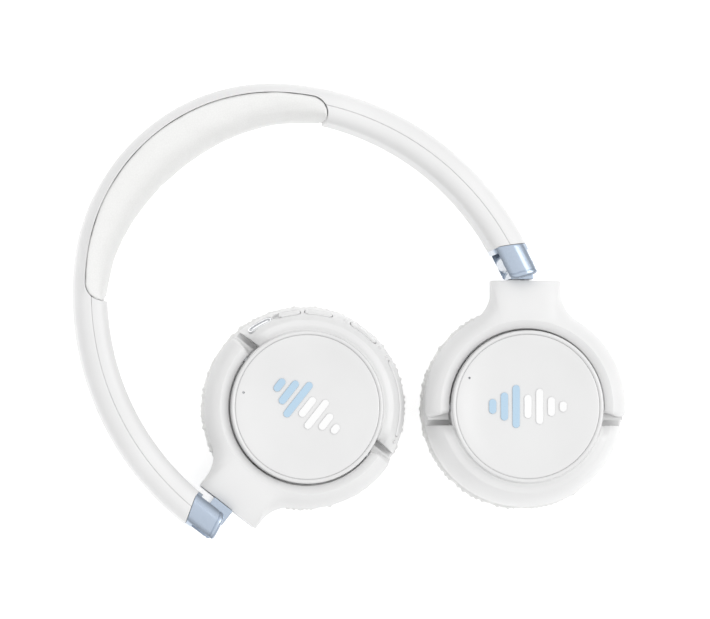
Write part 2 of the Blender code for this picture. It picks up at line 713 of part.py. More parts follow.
def cut_control_windows(housing, frame):
    for name, (middle, length) in RIM_CONTROLS.items():
        if name == "power_switch":
            length += SWITCH_TRAVEL
        window = plate(name + "_window",
                       rim_sector(middle, length + 2.4 * GAP, 30.0 * MM, 37.0 * MM),
                       BUTTON_LOW - GAP, BUTTON_HIGH + GAP)
        cut(housing, level_cutter(window, frame))
    mouth = block("usb_mouth", (12 * MM, USB_SIZE.y + 2 * GAP, USB_SIZE.z + 2 * GAP))
    mouth.rotation_euler.z = USB_ANGLE - math.pi / 2
    spot = rim_spot(USB_ANGLE, RIM_RADIUS)
    middle_level = (BUTTON_LOW + BUTTON_HIGH) / 2
    cut(housing, level_cutter(mouth, frame, spot.x, spot.y, middle_level))


def make_cap_plate(word, frame):
    """A softly dished disc over the drum."""
    profile = [(0.0, 30.1 * MM), (12.0 * MM, 30.3 * MM), (22.0 * MM, 30.8 * MM),
               (CAP_RADIUS, 30.9 * MM), (CAP_RADIUS, CAP_LOW), (0.0, CAP_LOW)]
    return finish(place(turned(word + "_cap_plate", profile), frame), "gloss_white")


def make_trim_ring(word, frame):
    inside = CAP_RADIUS + GAP
    profile = [(inside, 31.2 * MM), (25.2 * MM, 31.3 * MM), (TRIM_OUTER, 30.8 * MM),
               (TRIM_OUTER, CAP_LOW), (inside, CAP_LOW)]
    return finish(place(turned(word + "_cap_trim_ring", profile), frame), "gloss_white")


def make_baffle(word, frame):
    profile = [(DRIVER_HOLE, BAFFLE_HIGH), (31.9 * MM, BAFFLE_HIGH), (31.9 * MM, HOUSING_LOW),
               (DRIVER_HOLE, HOUSING_LOW)]
    return finish(place(turned(word + "_baffle", profile), frame), "grey_plastic")


def make_driver(word, frame):
    low = BAFFLE_HIGH + GAP
    basket = turned(word + "_driver_basket",
                    [(13.6 * MM, 16.0 * MM), (14.6 * MM, 16.0 * MM), (14.6 * MM, 19.6 * MM),
                     (7.4 * MM, 19.6 * MM), (7.4 * MM, 20.4 * MM), (15.8 * MM, 20.4 * MM),
                     (15.8 * MM, 16.0 * MM), (16.5 * MM, 16.0 * MM), (16.5 * MM, low),
                     (13.6 * MM, low)], FINE)
    finish(place(basket, frame), "grey_plastic")
    magnet = turned(word + "_driver_magnet",
                    [(0.0, 23.2 * MM), (6.6 * MM, 23.2 * MM), (7.0 * MM, 22.8 * MM),
                     (7.0 * MM, 18.2 * MM), (0.0, 18.2 * MM)], FINE)
    finish(place(magnet, frame), "magnet")
    diaphragm = turned(word + "_diaphragm",
                       [(0.0, 16.2 * MM), (4.6 * MM, 15.6 * MM), (6.4 * MM, 14.8 * MM),
                        (10.0 * MM, 14.5 * MM), (13.1 * MM, 14.6 * MM), (13.1 * MM, 14.1 * MM),
                        (10.0 * MM, 13.9 * MM), (6.2 * MM, 14.2 * MM), (4.3 * MM, 15.0 * MM),
                        (0.0, 15.6 * MM)], FINE)
    finish(place(diaphragm, frame), "film")


def make_ear_pad(word, frame):
    profile = [(PAD_INNER, PAD_HEIGHT), (33.0 * MM, PAD_HEIGHT), (34.2 * MM, 10.6 * MM),
               (PAD_OUTER, 7.2 * MM), (34.0 * MM, 3.5 * MM), (32.2 * MM, 1.1 * MM),
               (29.0 * MM, 0.0), (21.5 * MM, 0.0), (18.6 * MM, 0.9 * MM), (16.7 * MM, 3.0 * MM),
               (PAD_INNER, 6.0 * MM)]
    finish(place(turned(word + "_ear_pad", profile), frame), "white_leather")
    scrim = turned(word + "_pad_scrim", [(0.0, 12.9 * MM), (15.6 * MM, 12.9 * MM),
                                         (15.6 * MM, 12.3 * MM), (0.0, 12.3 * MM)], FINE)
    finish(place(scrim, frame), "white_cloth")


def make_microphone(word, side, frame):
    can = bar(word + "_microphone", 1.6 * MM, 1.1 * MM, "Z")
    can.location.z = 28.7 * MM
    return finish(place(can, frame, -side * 18.8 * MM, 9.0 * MM), "steel")


# ---------------------------------------------------------------- electronics

def make_rim_controls(frame):
    """Each control has its own empty at its middle, turned so that its X points out of the rim."""
    level = (BUTTON_LOW + BUTTON_HIGH) / 2
    for name, (middle, length) in RIM_CONTROLS.items():
        outline_middle = middle
        if name == "power_switch":
            outline_middle -= SWITCH_TRAVEL / 2 / RIM_RADIUS
        spot = rim_spot(outline_middle, RIM_RADIUS)
        axis = axis_frame(name + "_axis", frame, spot.x, spot.y, level)
        outline = [p - spot for p in rim_sector(outline_middle, length, BUTTON_INNER,
                                                BUTTON_OUTER)]
        control = plate(name, outline, BUTTON_LOW, BUTTON_HIGH, 0.35 * MM)
        place(control, axis)
        finish(control, "gloss_white" if name == "play_button" else "white_plastic")


def make_main_board(frame):
    start = math.radians(-60.0)
    end = math.radians(38.0)
    middle = (start + end) / 2
    outline = rim_sector(middle, (end - start) * RIM_RADIUS, 27.3 * MM, 31.2 * MM)
    board = plate("main_board", outline, 17.0 * MM, 18.0 * MM)
    return finish(place(board, frame), "board")


def make_usb_socket(frame):
    level = (BUTTON_LOW + BUTTON_HIGH) / 2
    socket = block("usb_socket", USB_SIZE, 0.9 * MM)
    socket.rotation_euler.z = USB_ANGLE - math.pi / 2
    spot = rim_spot(USB_ANGLE, USB_RADIUS)
    socket.location.z = level
    place(socket, frame, spot.x, spot.y)
    mouth = block("usb_opening", (USB_SIZE.x, USB_SIZE.y - 2 * USB_WALL,
                                  USB_SIZE.z - 2 * USB_WALL))
    mouth.rotation_euler.z = USB_ANGLE - math.pi / 2
    mouth_spot = rim_spot(USB_ANGLE, USB_RADIUS + USB_BACK)
    cut(socket, level_cutter(mouth, frame, mouth_spot.x, mouth_spot.y, level))
    return finish(socket, "steel")


def make_battery(frame):
    cell = block("battery", Vector((26.0, 18.0, 4.0)) * MM, 0.8 * MM)
    cell.location.z = 25.7 * MM
    finish(place(cell, frame), "battery")
    board = block("charge_board", Vector((20.0, 10.0, 1.0)) * MM)
    board.location.z = 28.7 * MM
    finish(place(board, frame, y=-6.0 * MM), "board")


# ---------------------------------------------------------------- assembly

def make_side(word, side, fold, headband):
    """One side of the headphones, from the size slider to the ear pad."""
    centre = arm_centre(side)
    slider = axis_frame(word + "_size_axis", headband, centre.x, centre.y, BAND_LEVEL)
    make_slider_strip(word, side, slider)
    make_hinge_housing(word, side, slider)
    make_fold_pin(word, side, slider)

    pin = pin_point(side) - centre
    hinge = axis_frame(word + "_fold_axis", slider, pin.x, pin.y, BAND_LEVEL,
                       -side * (ARM_LEAN + fold))
    make_knuckle(word, side, hinge)
    make_swivel_shaft(word, side, hinge)
    make_swivel_clip(word, side, hinge)

    yoke = axis_frame(word + "_swivel_axis", hinge, side * SWIVEL_OFFSET, -CUP_REACH,
                      SWIVEL_LEVEL)
    make_yoke_frame(word, yoke)
    make_yoke_cover(word, yoke)
    make_pivot_pin(word + "_front_pivot_pin", -side, yoke)
    make_pivot_pin(word + "_rear_pivot_pin", side, yoke)

    cup = axis_frame(word + "_tilt_axis", yoke, 0.0, 0.0, PIVOT_LEVEL)
    make_cup_housing(word, cup)
    make_cap_plate(word, cup)
    make_trim_ring(word, cup)
    make_baffle(word, cup)
    make_driver(word, cup)
    make_ear_pad(word, cup)
    make_microphone(word, side, cup)
    return cup


def make_headband():
    frame = axis_frame("headband_frame", None, CROWN_AT.x, CROWN_AT.y, BAND_LEVEL, HEADBAND_TURN)
    make_outer_shell(frame)
    make_cushion_base(frame)
    make_cushion(frame)
    make_spring_band(frame)
    for word, side in (("left", 1.0), ("right", -1.0)):
        make_inner_cover(word, side, frame)
        make_detent_spring(word, side, frame)
    return frame


headband_frame = make_headband()
left_cup = make_side("left", 1.0, LEFT_FOLD, headband_frame)
right_cup = make_side("right", -1.0, RIGHT_FOLD, headband_frame)
make_rim_controls(right_cup)
make_main_board(right_cup)
make_usb_socket(right_cup)
make_battery(left_cup)
bpy.context.view_layer.update()
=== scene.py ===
# %% [markdown]
# # Foldable wireless on-ear headphones, all white, lying folded on a table
# The real object is a moulded ABS headband with a leather pad under its crown, two pale blue
# hinge sleeves, and two cups that hang in horseshoe yokes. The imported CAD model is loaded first.
# Each new piece rides on one of its bodies, so it turns with the joint that it belongs to.

# %% Load the fixed frame
import json
import math
import random

import bpy
from mathutils import Matrix, Vector, noise


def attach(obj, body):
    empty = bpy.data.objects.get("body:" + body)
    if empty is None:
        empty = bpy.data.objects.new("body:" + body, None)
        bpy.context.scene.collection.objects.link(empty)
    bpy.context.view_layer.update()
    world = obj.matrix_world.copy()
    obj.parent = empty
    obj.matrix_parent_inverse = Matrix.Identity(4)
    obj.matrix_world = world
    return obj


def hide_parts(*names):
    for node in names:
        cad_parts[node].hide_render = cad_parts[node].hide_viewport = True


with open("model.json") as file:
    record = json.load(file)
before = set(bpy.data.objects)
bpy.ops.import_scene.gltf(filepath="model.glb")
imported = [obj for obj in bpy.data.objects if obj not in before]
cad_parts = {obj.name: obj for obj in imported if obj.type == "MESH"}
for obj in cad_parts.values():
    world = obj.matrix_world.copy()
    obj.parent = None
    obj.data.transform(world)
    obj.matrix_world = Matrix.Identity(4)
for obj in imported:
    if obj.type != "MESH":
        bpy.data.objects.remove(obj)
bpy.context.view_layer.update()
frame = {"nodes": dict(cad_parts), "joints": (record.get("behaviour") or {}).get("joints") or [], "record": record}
MM = 0.001

# %% [markdown]
# ## Where things are
# Three kinds of flat frame are enough. The headband is drawn as a U whose crown is the origin.
# Each cup is drawn round its own centre with Y towards the neck. Each knuckle is drawn round its
# fold pin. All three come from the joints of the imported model, so nothing has to be fitted.

# %% Frames from the joints
joints = {joint["name"]: joint for joint in frame["joints"]}
SIDES = {"left": 1, "right": -1}


def joint_point(name):
    return Vector(joints[name]["pos_m"])


def flat_frame(x_axis, origin):
    """A frame that stands level: X as given, Z up."""
    x_axis = Vector((x_axis.x, x_axis.y, 0)).normalized()
    y_axis = Vector((0, 0, 1)).cross(x_axis)
    columns = Matrix((x_axis, y_axis, (0, 0, 1))).transposed().to_4x4()
    return Matrix.Translation((origin.x, origin.y, 0)) @ columns


CROWN_RADIUS, ARM_RADIUS = 67.0 * MM, 98.9 * MM
CROWN_ANGLE, ARM_END = math.radians(43.0), math.radians(102.3)
BAND_THICKNESS, BAND_LEVEL = 11.2 * MM, 20.0 * MM
across = joint_point("right_size") - joint_point("left_size")
arm_drop = CROWN_RADIUS + (ARM_RADIUS - CROWN_RADIUS) * math.cos(CROWN_ANGLE)
middle = (joint_point("right_size") + joint_point("left_size")) / 2
up_the_band = Vector((0, 0, 1)).cross(across.normalized())
BAND_FRAME = flat_frame(across, middle + arm_drop * up_the_band)

CUP_FRAME, KNUCKLE_FRAME = {}, {}
for word in SIDES:
    tilt = Vector(joints[word + "_tilt"]["axis"])
    CUP_FRAME[word] = flat_frame(tilt, joint_point(word + "_tilt"))
    KNUCKLE_FRAME[word] = flat_frame(tilt, joint_point(word + "_fold"))
print("crown at", [round(v / MM, 1) for v in BAND_FRAME.translation])

# %% [markdown]
# ## The hand tools
# Every piece starts as a primitive and is shaped in edit mode. These few helpers hold what is
# done again and again: select one thing, extrude an outline, spin a profile, round the edges,
# cut with another shape, and put the finished mesh in its place.


# %% Select, name and copy
def take(piece):
    bpy.ops.object.select_all(action="DESELECT")
    piece.select_set(True)
    bpy.context.view_layer.objects.active = piece


def named(name):
    """Name the primitive that was just added."""
    piece = bpy.context.object
    piece.name = piece.data.name = name
    return piece


def copied(piece, name):
    take(piece)
    bpy.ops.object.duplicate(linked=False)
    return named(name)


def dropped(piece):
    """Take a used-up cutter or master piece out of the scene."""
    bpy.data.objects.remove(piece, do_unlink=True)


def placed(piece, where):
    """Apply a frame to the mesh, so that the object itself stays at the origin."""
    take(piece)
    piece.matrix_world = where
    bpy.ops.object.transform_apply(location=True, rotation=True, scale=True)
    return piece


# %% Close, smooth, round and cut
def closed(piece, doubles=0.002 * MM):
    """Merge doubled corners, close open ends and point every face outwards."""
    take(piece)
    bpy.ops.object.mode_set(mode="EDIT")
    bpy.ops.mesh.select_all(action="SELECT")
    bpy.ops.mesh.remove_doubles(threshold=doubles)
    bpy.ops.mesh.fill_holes(sides=0)
    bpy.ops.mesh.select_all(action="SELECT")
    bpy.ops.mesh.normals_make_consistent(inside=False)
    bpy.ops.object.mode_set(mode="OBJECT")
    return piece


def rounded(piece, width, rings=3, angle=40):
    take(piece)
    bevel = piece.modifiers.new("rounded_edges", "BEVEL")
    bevel.width = width
    bevel.segments = rings
    bevel.limit_method = "ANGLE"
    bevel.angle_limit = math.radians(angle)
    bpy.ops.object.modifier_apply(modifier=bevel.name)
    return piece


def smoothed(piece, angle=38):
    """Smooth shading, with broad faces left looking flat."""
    take(piece)
    bpy.ops.object.shade_smooth_by_angle(angle=math.radians(angle))
    weighted = piece.modifiers.new("flat_faces", "WEIGHTED_NORMAL")
    weighted.keep_sharp = True
    bpy.ops.object.modifier_apply(modifier=weighted.name)
    return piece


def combined(piece, other, operation="DIFFERENCE"):
    """Cut with another closed shape, or join it on."""
    take(piece)
    boolean = piece.modifiers.new("shape", "BOOLEAN")
    boolean.operation = operation
    boolean.solver = "EXACT"
    boolean.object = other
    bpy.ops.object.modifier_apply(modifier=boolean.name)
    dropped(other)
    return piece


# %% Outline, profile and formed sheet
def slab(name, outline, low, high):
    """An outline of corners, filled and extruded from one level to another."""
    bpy.ops.object.select_all(action="DESELECT")
    bpy.ops.mesh.primitive_circle_add(vertices=len(outline), fill_type="NGON")
    piece = named(name)
    for corner, spot in zip(piece.data.vertices, outline):
        corner.co = (spot[0], spot[1], low)
    bpy.ops.object.mode_set(mode="EDIT")
    bpy.ops.mesh.select_all(action="SELECT")
    bpy.ops.mesh.extrude_region_move(TRANSFORM_OT_translate={"value": (0, 0, high - low)})
    bpy.ops.object.mode_set(mode="OBJECT")
    return closed(piece)


def turned(name, profile, steps=144):
    """A closed profile of (radius, level) corners, spun about the cup's axis."""
    bpy.ops.object.select_all(action="DESELECT")
    bpy.ops.mesh.primitive_circle_add(vertices=len(profile), fill_type="NOTHING")
    piece = named(name)
    for corner, (radius, level) in zip(piece.data.vertices, profile):
        corner.co = (radius * MM, 0, level * MM)
    bpy.ops.object.mode_set(mode="EDIT")
    bpy.ops.mesh.select_all(action="SELECT")
    bpy.ops.mesh.spin(steps=steps, angle=2 * math.pi, center=(0, 0, 0), axis=(0, 0, 1))
    bpy.ops.object.mode_set(mode="OBJECT")
    return closed(piece)


def formed(name, rows, top, bottom):
    """A grid pressed to a shape and extruded down into a solid.
    rows is a list of rows of (x, y); top and bottom give a level for (row, column)."""
    columns = len(rows[0])
    bpy.ops.object.select_all(action="DESELECT")
    bpy.ops.mesh.primitive_grid_add(x_subdivisions=columns - 1, y_subdivisions=len(rows) - 1)
    piece = named(name)
    for number, corner in enumerate(piece.data.vertices):
        row, column = divmod(number, columns)
        corner.co = (*rows[row][column], top(row, column))
    total = len(piece.data.vertices)
    bpy.ops.object.mode_set(mode="EDIT")
    bpy.ops.mesh.select_all(action="SELECT")
    bpy.ops.mesh.extrude_region_move(TRANSFORM_OT_translate={"value": (0, 0, -MM)})
    bpy.ops.object.mode_set(mode="OBJECT")
    for number, corner in enumerate(piece.data.vertices):
        if corner.select:
            row, column = divmod(number % total, columns)
            corner.co.z = bottom(row, column)
    return closed(piece)


def lofted(name, rings):
    """A ring of corners that is extruded again and again, each time on to the next ring."""
    count = len(rings[0])
    bpy.ops.object.select_all(action="DESELECT")
    bpy.ops.mesh.primitive_circle_add(vertices=count, fill_type="NOTHING")
    piece = named(name)
    for corner, spot in zip(piece.data.vertices, rings[0]):
        corner.co = spot
    for last, ring in zip(rings, rings[1:]):
        bpy.ops.object.mode_set(mode="EDIT")
        bpy.ops.mesh.extrude_region_move(TRANSFORM_OT_translate={"value": (0, 0, 0)})
        bpy.ops.object.mode_set(mode="OBJECT")
        for corner in piece.data.vertices[-count:]:
            number = min(range(count), key=lambda i: (last[i] - corner.co).length)
            corner.co = ring[number]
    return closed(piece)


print("hand tools ready")

# %% [markdown]
# ## Finishes
# Almost everything is white, so the finishes have to be told apart by gloss and grain: satin
# ABS for the shells, polished ABS for the caps, leather for the pads, and pale blue metallic
# lacquer for the hinges. Hex colours are turned to linear light by one function.


# %% Colour and node helpers
def linear(code):
    """A hex sRGB colour as linear light."""
    parts = [int(code[i:i + 2], 16) / 255 for i in (1, 3, 5)]
    return [p / 12.92 if p <= 0.04045 else ((p + 0.055) / 1.055) ** 2.4 for p in parts] + [1]


def add(tree, kind, values=None, links=None, **settings):
    """Add one node, with its settings, the values of its sockets and what they are fed by."""
    made = tree.nodes.new(kind)
    for key, value in settings.items():
        setattr(made, key, value)
    for key, value in (values or {}).items():
        made.inputs[key].default_value = value
    for key, source in (links or {}).items():
        tree.links.new(source, made.inputs[key])
    return made


def finish(name, colour, roughness, metallic=0.0, ior=1.5):
    """A new material with its plain values set on the shader's own sockets."""
    material = bpy.data.materials.new(name)
    material.use_nodes = True
    shader = material.node_tree.nodes["Principled BSDF"]
    shader.inputs["Base Color"].default_value = linear(colour)
    shader.inputs["Roughness"].default_value = roughness
    shader.inputs["Metallic"].default_value = metallic
    shader.inputs["IOR"].default_value = ior
    return material, material.node_tree, shader


def per_mm(size):
    """The texture scale at which one cell is this many millimetres."""
    return 1.0 / (size * MM)


# %% [markdown]
# ### Satin ABS
# The shells are injection-moulded ABS from a spark-eroded mould, whose fine matt grain breaks
# up the highlights. The real grain is about 0.05 mm and can't be seen at this size, so it is
# drawn at 0.3 mm and kept shallow. A slow change of tone stops large faces looking like paper.


# %% Satin and polished ABS
def moulded_abs(name, light, dark, roughness, grain, depth, coat):
    material, tree, shader = finish(name, light, roughness, ior=1.53)
    place = add(tree, "ShaderNodeTexCoord")
    tone = add(tree, "ShaderNodeTexNoise", {"Scale": per_mm(22), "Detail": 2.0},
               {"Vector": place.outputs["Object"]})
    ramp = add(tree, "ShaderNodeValToRGB", None, {"Fac": tone.outputs["Fac"]})
    ramp.color_ramp.elements[0].color = linear(dark)
    ramp.color_ramp.elements[0].position = 0.3
    ramp.color_ramp.elements[1].color = linear(light)
    ramp.color_ramp.elements[1].position = 0.7
    tree.links.new(ramp.outputs["Color"], shader.inputs["Base Color"])
    speckle = add(tree, "ShaderNodeTexNoise", {"Scale": per_mm(grain), "Detail": 1.0},
                  {"Vector": place.outputs["Object"]})
    rough = add(tree, "ShaderNodeMapRange",
                {"To Min": roughness - 0.05, "To Max": roughness + 0.07},
                {"Value": speckle.outputs["Fac"]})
    tree.links.new(rough.outputs["Result"], shader.inputs["Roughness"])
    bump = add(tree, "ShaderNodeBump", {"Strength": 0.12, "Distance": depth * MM},
               {"Height": speckle.outputs["Fac"]})
    tree.links.new(bump.outputs["Normal"], shader.inputs["Normal"])
    shader.inputs["Coat Weight"].default_value = coat
    shader.inputs["Coat Roughness"].default_value = 0.12
    return material


SATIN_ABS = moulded_abs("satin_white_abs", "#d9d9d9", "#d5d5d5", 0.40, 0.3, 0.03, 0.0)
POLISHED_ABS = moulded_abs("polished_white_abs", "#d4d4d4", "#d0d0d0", 0.22, 0.5, 0.01, 0.35)
print("made", SATIN_ABS.name, POLISHED_ABS.name)

# %% [markdown]
# ### Protein leather
# The pads are wrapped in thin embossed leather-like sheet. Its grain is a net of small cells
# about 0.8 mm across with shallow creases between them, over soft larger hills. The creases
# are painted a little darker, as painted shade in the grain's hollows.

# %% White leather
LEATHER, tree, shader = finish("white_protein_leather", "#dbdbda", 0.5, ior=1.48)
place = add(tree, "ShaderNodeTexCoord")
warp = add(tree, "ShaderNodeTexNoise", {"Scale": per_mm(3), "Detail": 2.0},
           {"Vector": place.outputs["Object"]})
cells = add(tree, "ShaderNodeTexVoronoi", {"Scale": per_mm(0.8)},
            {"Vector": place.outputs["Object"]}, feature="DISTANCE_TO_EDGE")
crease = add(tree, "ShaderNodeMapRange", {"From Max": 0.16}, {"Value": cells.outputs["Distance"]})
hills = add(tree, "ShaderNodeMath", {1: 0.8}, {0: warp.outputs["Fac"]}, operation="MULTIPLY")
height = add(tree, "ShaderNodeMath", None,
             {0: crease.outputs["Result"], 1: hills.outputs["Value"]}, operation="ADD")
bump = add(tree, "ShaderNodeBump", {"Strength": 0.16, "Distance": 0.05 * MM},
           {"Height": height.outputs["Value"]})
tree.links.new(bump.outputs["Normal"], shader.inputs["Normal"])
# painted shade: the creases are coloured a little darker than the cells
hollow_shade_tone = add(tree, "ShaderNodeValToRGB", None, {"Fac": crease.outputs["Result"]})
hollow_shade_tone.color_ramp.elements[0].color = linear("#d8d8d7")
hollow_shade_tone.color_ramp.elements[1].color = linear("#dcdcdb")
tree.links.new(hollow_shade_tone.outputs["Color"], shader.inputs["Base Color"])
shader.inputs["Sheen Weight"].default_value = 0.15
shader.inputs["Sheen Roughness"].default_value = 0.5
print("made", LEATHER.name)

# %% [markdown]
# ### Woven scrim
# A thin acoustic cloth covers each driver. Its plain weave has about two threads to a
# millimetre, so one over-and-under repeat is 1 mm, crossed at right angles. Where the threads
# dip, the cloth is painted darker, as painted shade between the threads.

# %% White scrim cloth
SCRIM, tree, shader = finish("white_woven_scrim", "#d9dadb", 0.9)
place = add(tree, "ShaderNodeTexCoord")
threads = []
for direction in ("X", "Y"):
    wave = add(tree, "ShaderNodeTexWave", {"Scale": per_mm(1.0) / 20 * 2 * math.pi},
               {"Vector": place.outputs["Object"]}, bands_direction=direction)
    threads.append(wave)
weave = add(tree, "ShaderNodeMath", None,
            {0: threads[0].outputs["Fac"], 1: threads[1].outputs["Fac"]}, operation="MULTIPLY")
# painted shade: the weave is coloured darker where its threads dip
hollow_shade_tone = add(tree, "ShaderNodeValToRGB", None, {"Fac": weave.outputs["Value"]})
hollow_shade_tone.color_ramp.elements[0].color = linear("#8f9194")
hollow_shade_tone.color_ramp.elements[1].color = linear("#e9eaeb")
tree.links.new(hollow_shade_tone.outputs["Color"], shader.inputs["Base Color"])
bump = add(tree, "ShaderNodeBump", {"Strength": 0.6, "Distance": 0.15 * MM},
           {"Height": weave.outputs["Value"]})
tree.links.new(bump.outputs["Normal"], shader.inputs["Normal"])
shader.inputs["Sheen Weight"].default_value = 0.3
print("made", SCRIM.name)

# %% [markdown]
# ### Pale blue metallic lacquer
# The hinge sleeves and knuckles are die-cast and sprayed with a metallic lacquer. Fine flakes
# give a soft sparkle, and the clear coat over them carries the sharp highlight stripe.

# %% Blue lacquer
BLUE_LACQUER, tree, shader = finish("pale_blue_metallic_lacquer", "#a3afbe", 0.26, metallic=0.85)
place = add(tree, "ShaderNodeTexCoord")
flakes = add(tree, "ShaderNodeTexVoronoi", {"Scale": per_mm(0.35)},
             {"Vector": place.outputs["Object"]})
shade = add(tree, "ShaderNodeValToRGB", None, {"Fac": flakes.outputs["Color"]})
shade.color_ramp.elements[0].color = linear("#a1adbd")
shade.color_ramp.elements[1].color = linear("#a7b3c2")
tree.links.new(shade.outputs["Color"], shader.inputs["Base Color"])
rough = add(tree, "ShaderNodeMapRange", {"To Min": 0.23, "To Max": 0.27},
            {"Value": flakes.outputs["Distance"]})
tree.links.new(rough.outputs["Result"], shader.inputs["Roughness"])
shader.inputs["Coat Weight"].default_value = 0.6
shader.inputs["Coat Roughness"].default_value = 0.08
EMBLEM_BLUE = moulded_abs("pale_blue_pad_print", "#a9c3d6", "#a3bdd1", 0.28, 0.5, 0.01, 0.3)
EMBLEM_WHITE = moulded_abs("white_pad_print", "#e4e4e4", "#e0e0e0", 0.22, 0.5, 0.01, 0.3)
print("made", BLUE_LACQUER.name, EMBLEM_BLUE.name, EMBLEM_WHITE.name)

# %% [markdown]
# ### What is inside
# The CAD pieces inside keep their shape and only get a better finish: rolled steel with fine
# lines, glass-filled nylon, nickel-plated magnets, solder mask on the boards, and the pouch
# film of the battery.


# %% Finishes for the pieces inside
def grained(name, low, high, roughness, metallic, size, stretch=(1, 1, 1), depth=0.02):
    """A two-tone finish whose grain may be drawn out along one direction."""
    material, tree, shader = finish(name, high, roughness, metallic)
    place = add(tree, "ShaderNodeTexCoord")
    turned_to = add(tree, "ShaderNodeMapping", {"Scale": stretch},
                    {"Vector": place.outputs["Object"]})
    grain = add(tree, "ShaderNodeTexNoise", {"Scale": per_mm(size), "Detail": 3.0},
                {"Vector": turned_to.outputs["Vector"]})
    ramp = add(tree, "ShaderNodeValToRGB", None, {"Fac": grain.outputs["Fac"]})
    ramp.color_ramp.elements[0].color = linear(low)
    ramp.color_ramp.elements[0].position = 0.35
    ramp.color_ramp.elements[1].color = linear(high)
    ramp.color_ramp.elements[1].position = 0.65
    tree.links.new(ramp.outputs["Color"], shader.inputs["Base Color"])
    bump = add(tree, "ShaderNodeBump", {"Strength": 0.25, "Distance": depth * MM},
               {"Height": grain.outputs["Fac"]})
    tree.links.new(bump.outputs["Normal"], shader.inputs["Normal"])
    return material


STEEL = grained("rolled_stainless_steel", "#9b9da0", "#c6c8cb", 0.28, 1.0, 0.4, (1, 1, 0.05))
NYLON = grained("glass_filled_nylon", "#7b7e83", "#8b8e93", 0.55, 0.0, 0.5)
NICKEL = grained("nickel_plated_magnet", "#a6a49e", "#bcbab3", 0.22, 1.0, 2.0)
BRIGHT_NICKEL = grained("bright_nickel_plate", "#dcdddf", "#eeeff0", 0.3, 0.8, 0.8)
BOARD = grained("green_solder_mask", "#0f4a2c", "#1c6b40", 0.35, 0.0, 1.2, (1, 0.2, 1))
POUCH = grained("battery_pouch_film", "#a3a8ad", "#bfc4c9", 0.3, 0.6, 4.0)
FILM = grained("diaphragm_film", "#c9ced3", "#dfe3e7", 0.2, 0.0, 3.0)
CAD_FINISH = {"steel": STEEL, "grey_plastic": NYLON, "magnet": NICKEL, "board": BOARD,
              "battery": POUCH, "film": FILM, "white_plastic": SATIN_ABS,
              "gloss_white": POLISHED_ABS, "blue_metal": BLUE_LACQUER,
              "white_leather": LEATHER, "white_cloth": SCRIM}
slot_of = {part["node"]: part["material_slot"] for part in frame["record"]["subparts"]}
for node, thing in frame["nodes"].items():
    thing.data.materials.clear()
    thing.data.materials.append(CAD_FINISH[slot_of[node]])
print("finished", len(frame["nodes"]), "CAD nodes in", len(set(slot_of.values())), "finishes")


# %% Give a piece its finish and body, and hide the CAD nodes it replaces
def fitted(piece, material, slot, body, *nodes):
    """Dress a finished piece, let it ride on its body, and hide the CAD nodes it stands for. The slot is not used.
    """
    piece.data.materials.clear()
    piece.data.materials.append(material)
    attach(piece, body)
    if nodes:
        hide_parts(*nodes)
    print("made", piece.name, "with", len(piece.data.polygons), "faces, on", body)
    return piece


# %% [markdown]
# ## Headband
# The band's outer face is one arc over the crown that runs on into a wider arc down each arm.
# It could be a curve with a bevel, but a section that is spun round the arcs' own centres keeps
# the corners crisp, and the inner edge can then be moved where the leather pad takes over.


# %% The band's curve
def arm_centre(side):
    offset = ARM_RADIUS - CROWN_RADIUS
    return Vector((-side * offset * math.sin(CROWN_ANGLE),
                   -CROWN_RADIUS - offset * math.cos(CROWN_ANGLE), 0))


def band_point(angle, depth, level=0.0):
    """A point by its angle from the crown, its depth under the outer face and its level."""
    side = 1 if angle >= 0 else -1
    on_crown = abs(angle) <= CROWN_ANGLE
    centre = Vector((0, -CROWN_RADIUS, 0)) if on_crown else arm_centre(side)
    radius = (CROWN_RADIUS if on_crown else ARM_RADIUS) - depth
    way = Vector((side * math.sin(abs(angle)), math.cos(angle), 0))
    return centre + radius * way + Vector((0, 0, level))


def band_place(spot):
    """The angle and depth of a point, the other way round."""
    side = 1 if spot.x >= 0 else -1
    angle = math.atan2(abs(spot.x), spot.y + CROWN_RADIUS)
    if angle <= CROWN_ANGLE:
        return side * angle, CROWN_RADIUS - math.hypot(spot.x, spot.y + CROWN_RADIUS)
    centre = arm_centre(side)
    away = Vector((side * (spot.x - centre.x), spot.y - centre.y))
    return side * math.atan2(away.x, away.y), ARM_RADIUS - away.length


def arm_end(depth):
    """The arms are cut off on a slant: the inner face ends a little sooner."""
    return ARM_END - math.radians(2.5) * depth / BAND_THICKNESS


def crown_widening(spot):
    """How much wider than its arms the band is at this place."""
    angle = math.atan2(abs(spot.x), spot.y + CROWN_RADIUS)
    return 1.0 + 0.25 * max(0.0, math.cos(0.9 * angle)) ** 2


# %% A section spun along the band
def spun_along(name, section, stops, step=2.2):
    """Spin a closed (depth, level) section through the given angles, about each arc's centre."""
    bpy.ops.object.select_all(action="DESELECT")
    bpy.ops.mesh.primitive_circle_add(vertices=len(section), fill_type="NOTHING")
    piece = named(name)
    start = math.radians(stops[0])
    for corner, (depth, level) in zip(piece.data.vertices, section):
        corner.co = band_point(start, depth * MM, level * MM)
    bpy.ops.object.mode_set(mode="EDIT")
    bpy.ops.mesh.select_all(action="SELECT")
    for first, last in zip(stops, stops[1:]):
        halfway = (first + last) / 2
        on_crown = abs(math.radians(halfway)) < CROWN_ANGLE
        side = 1 if halfway > 0 else -1
        centre = Vector((0, -CROWN_RADIUS, 0)) if on_crown else arm_centre(side)
        turn = math.radians(last - first)
        steps = max(1, round(abs(last - first) / step))
        bpy.ops.mesh.spin(steps=steps, angle=turn, center=centre, axis=(0, 0, 1))
    bpy.ops.object.mode_set(mode="OBJECT")
    return closed(piece)


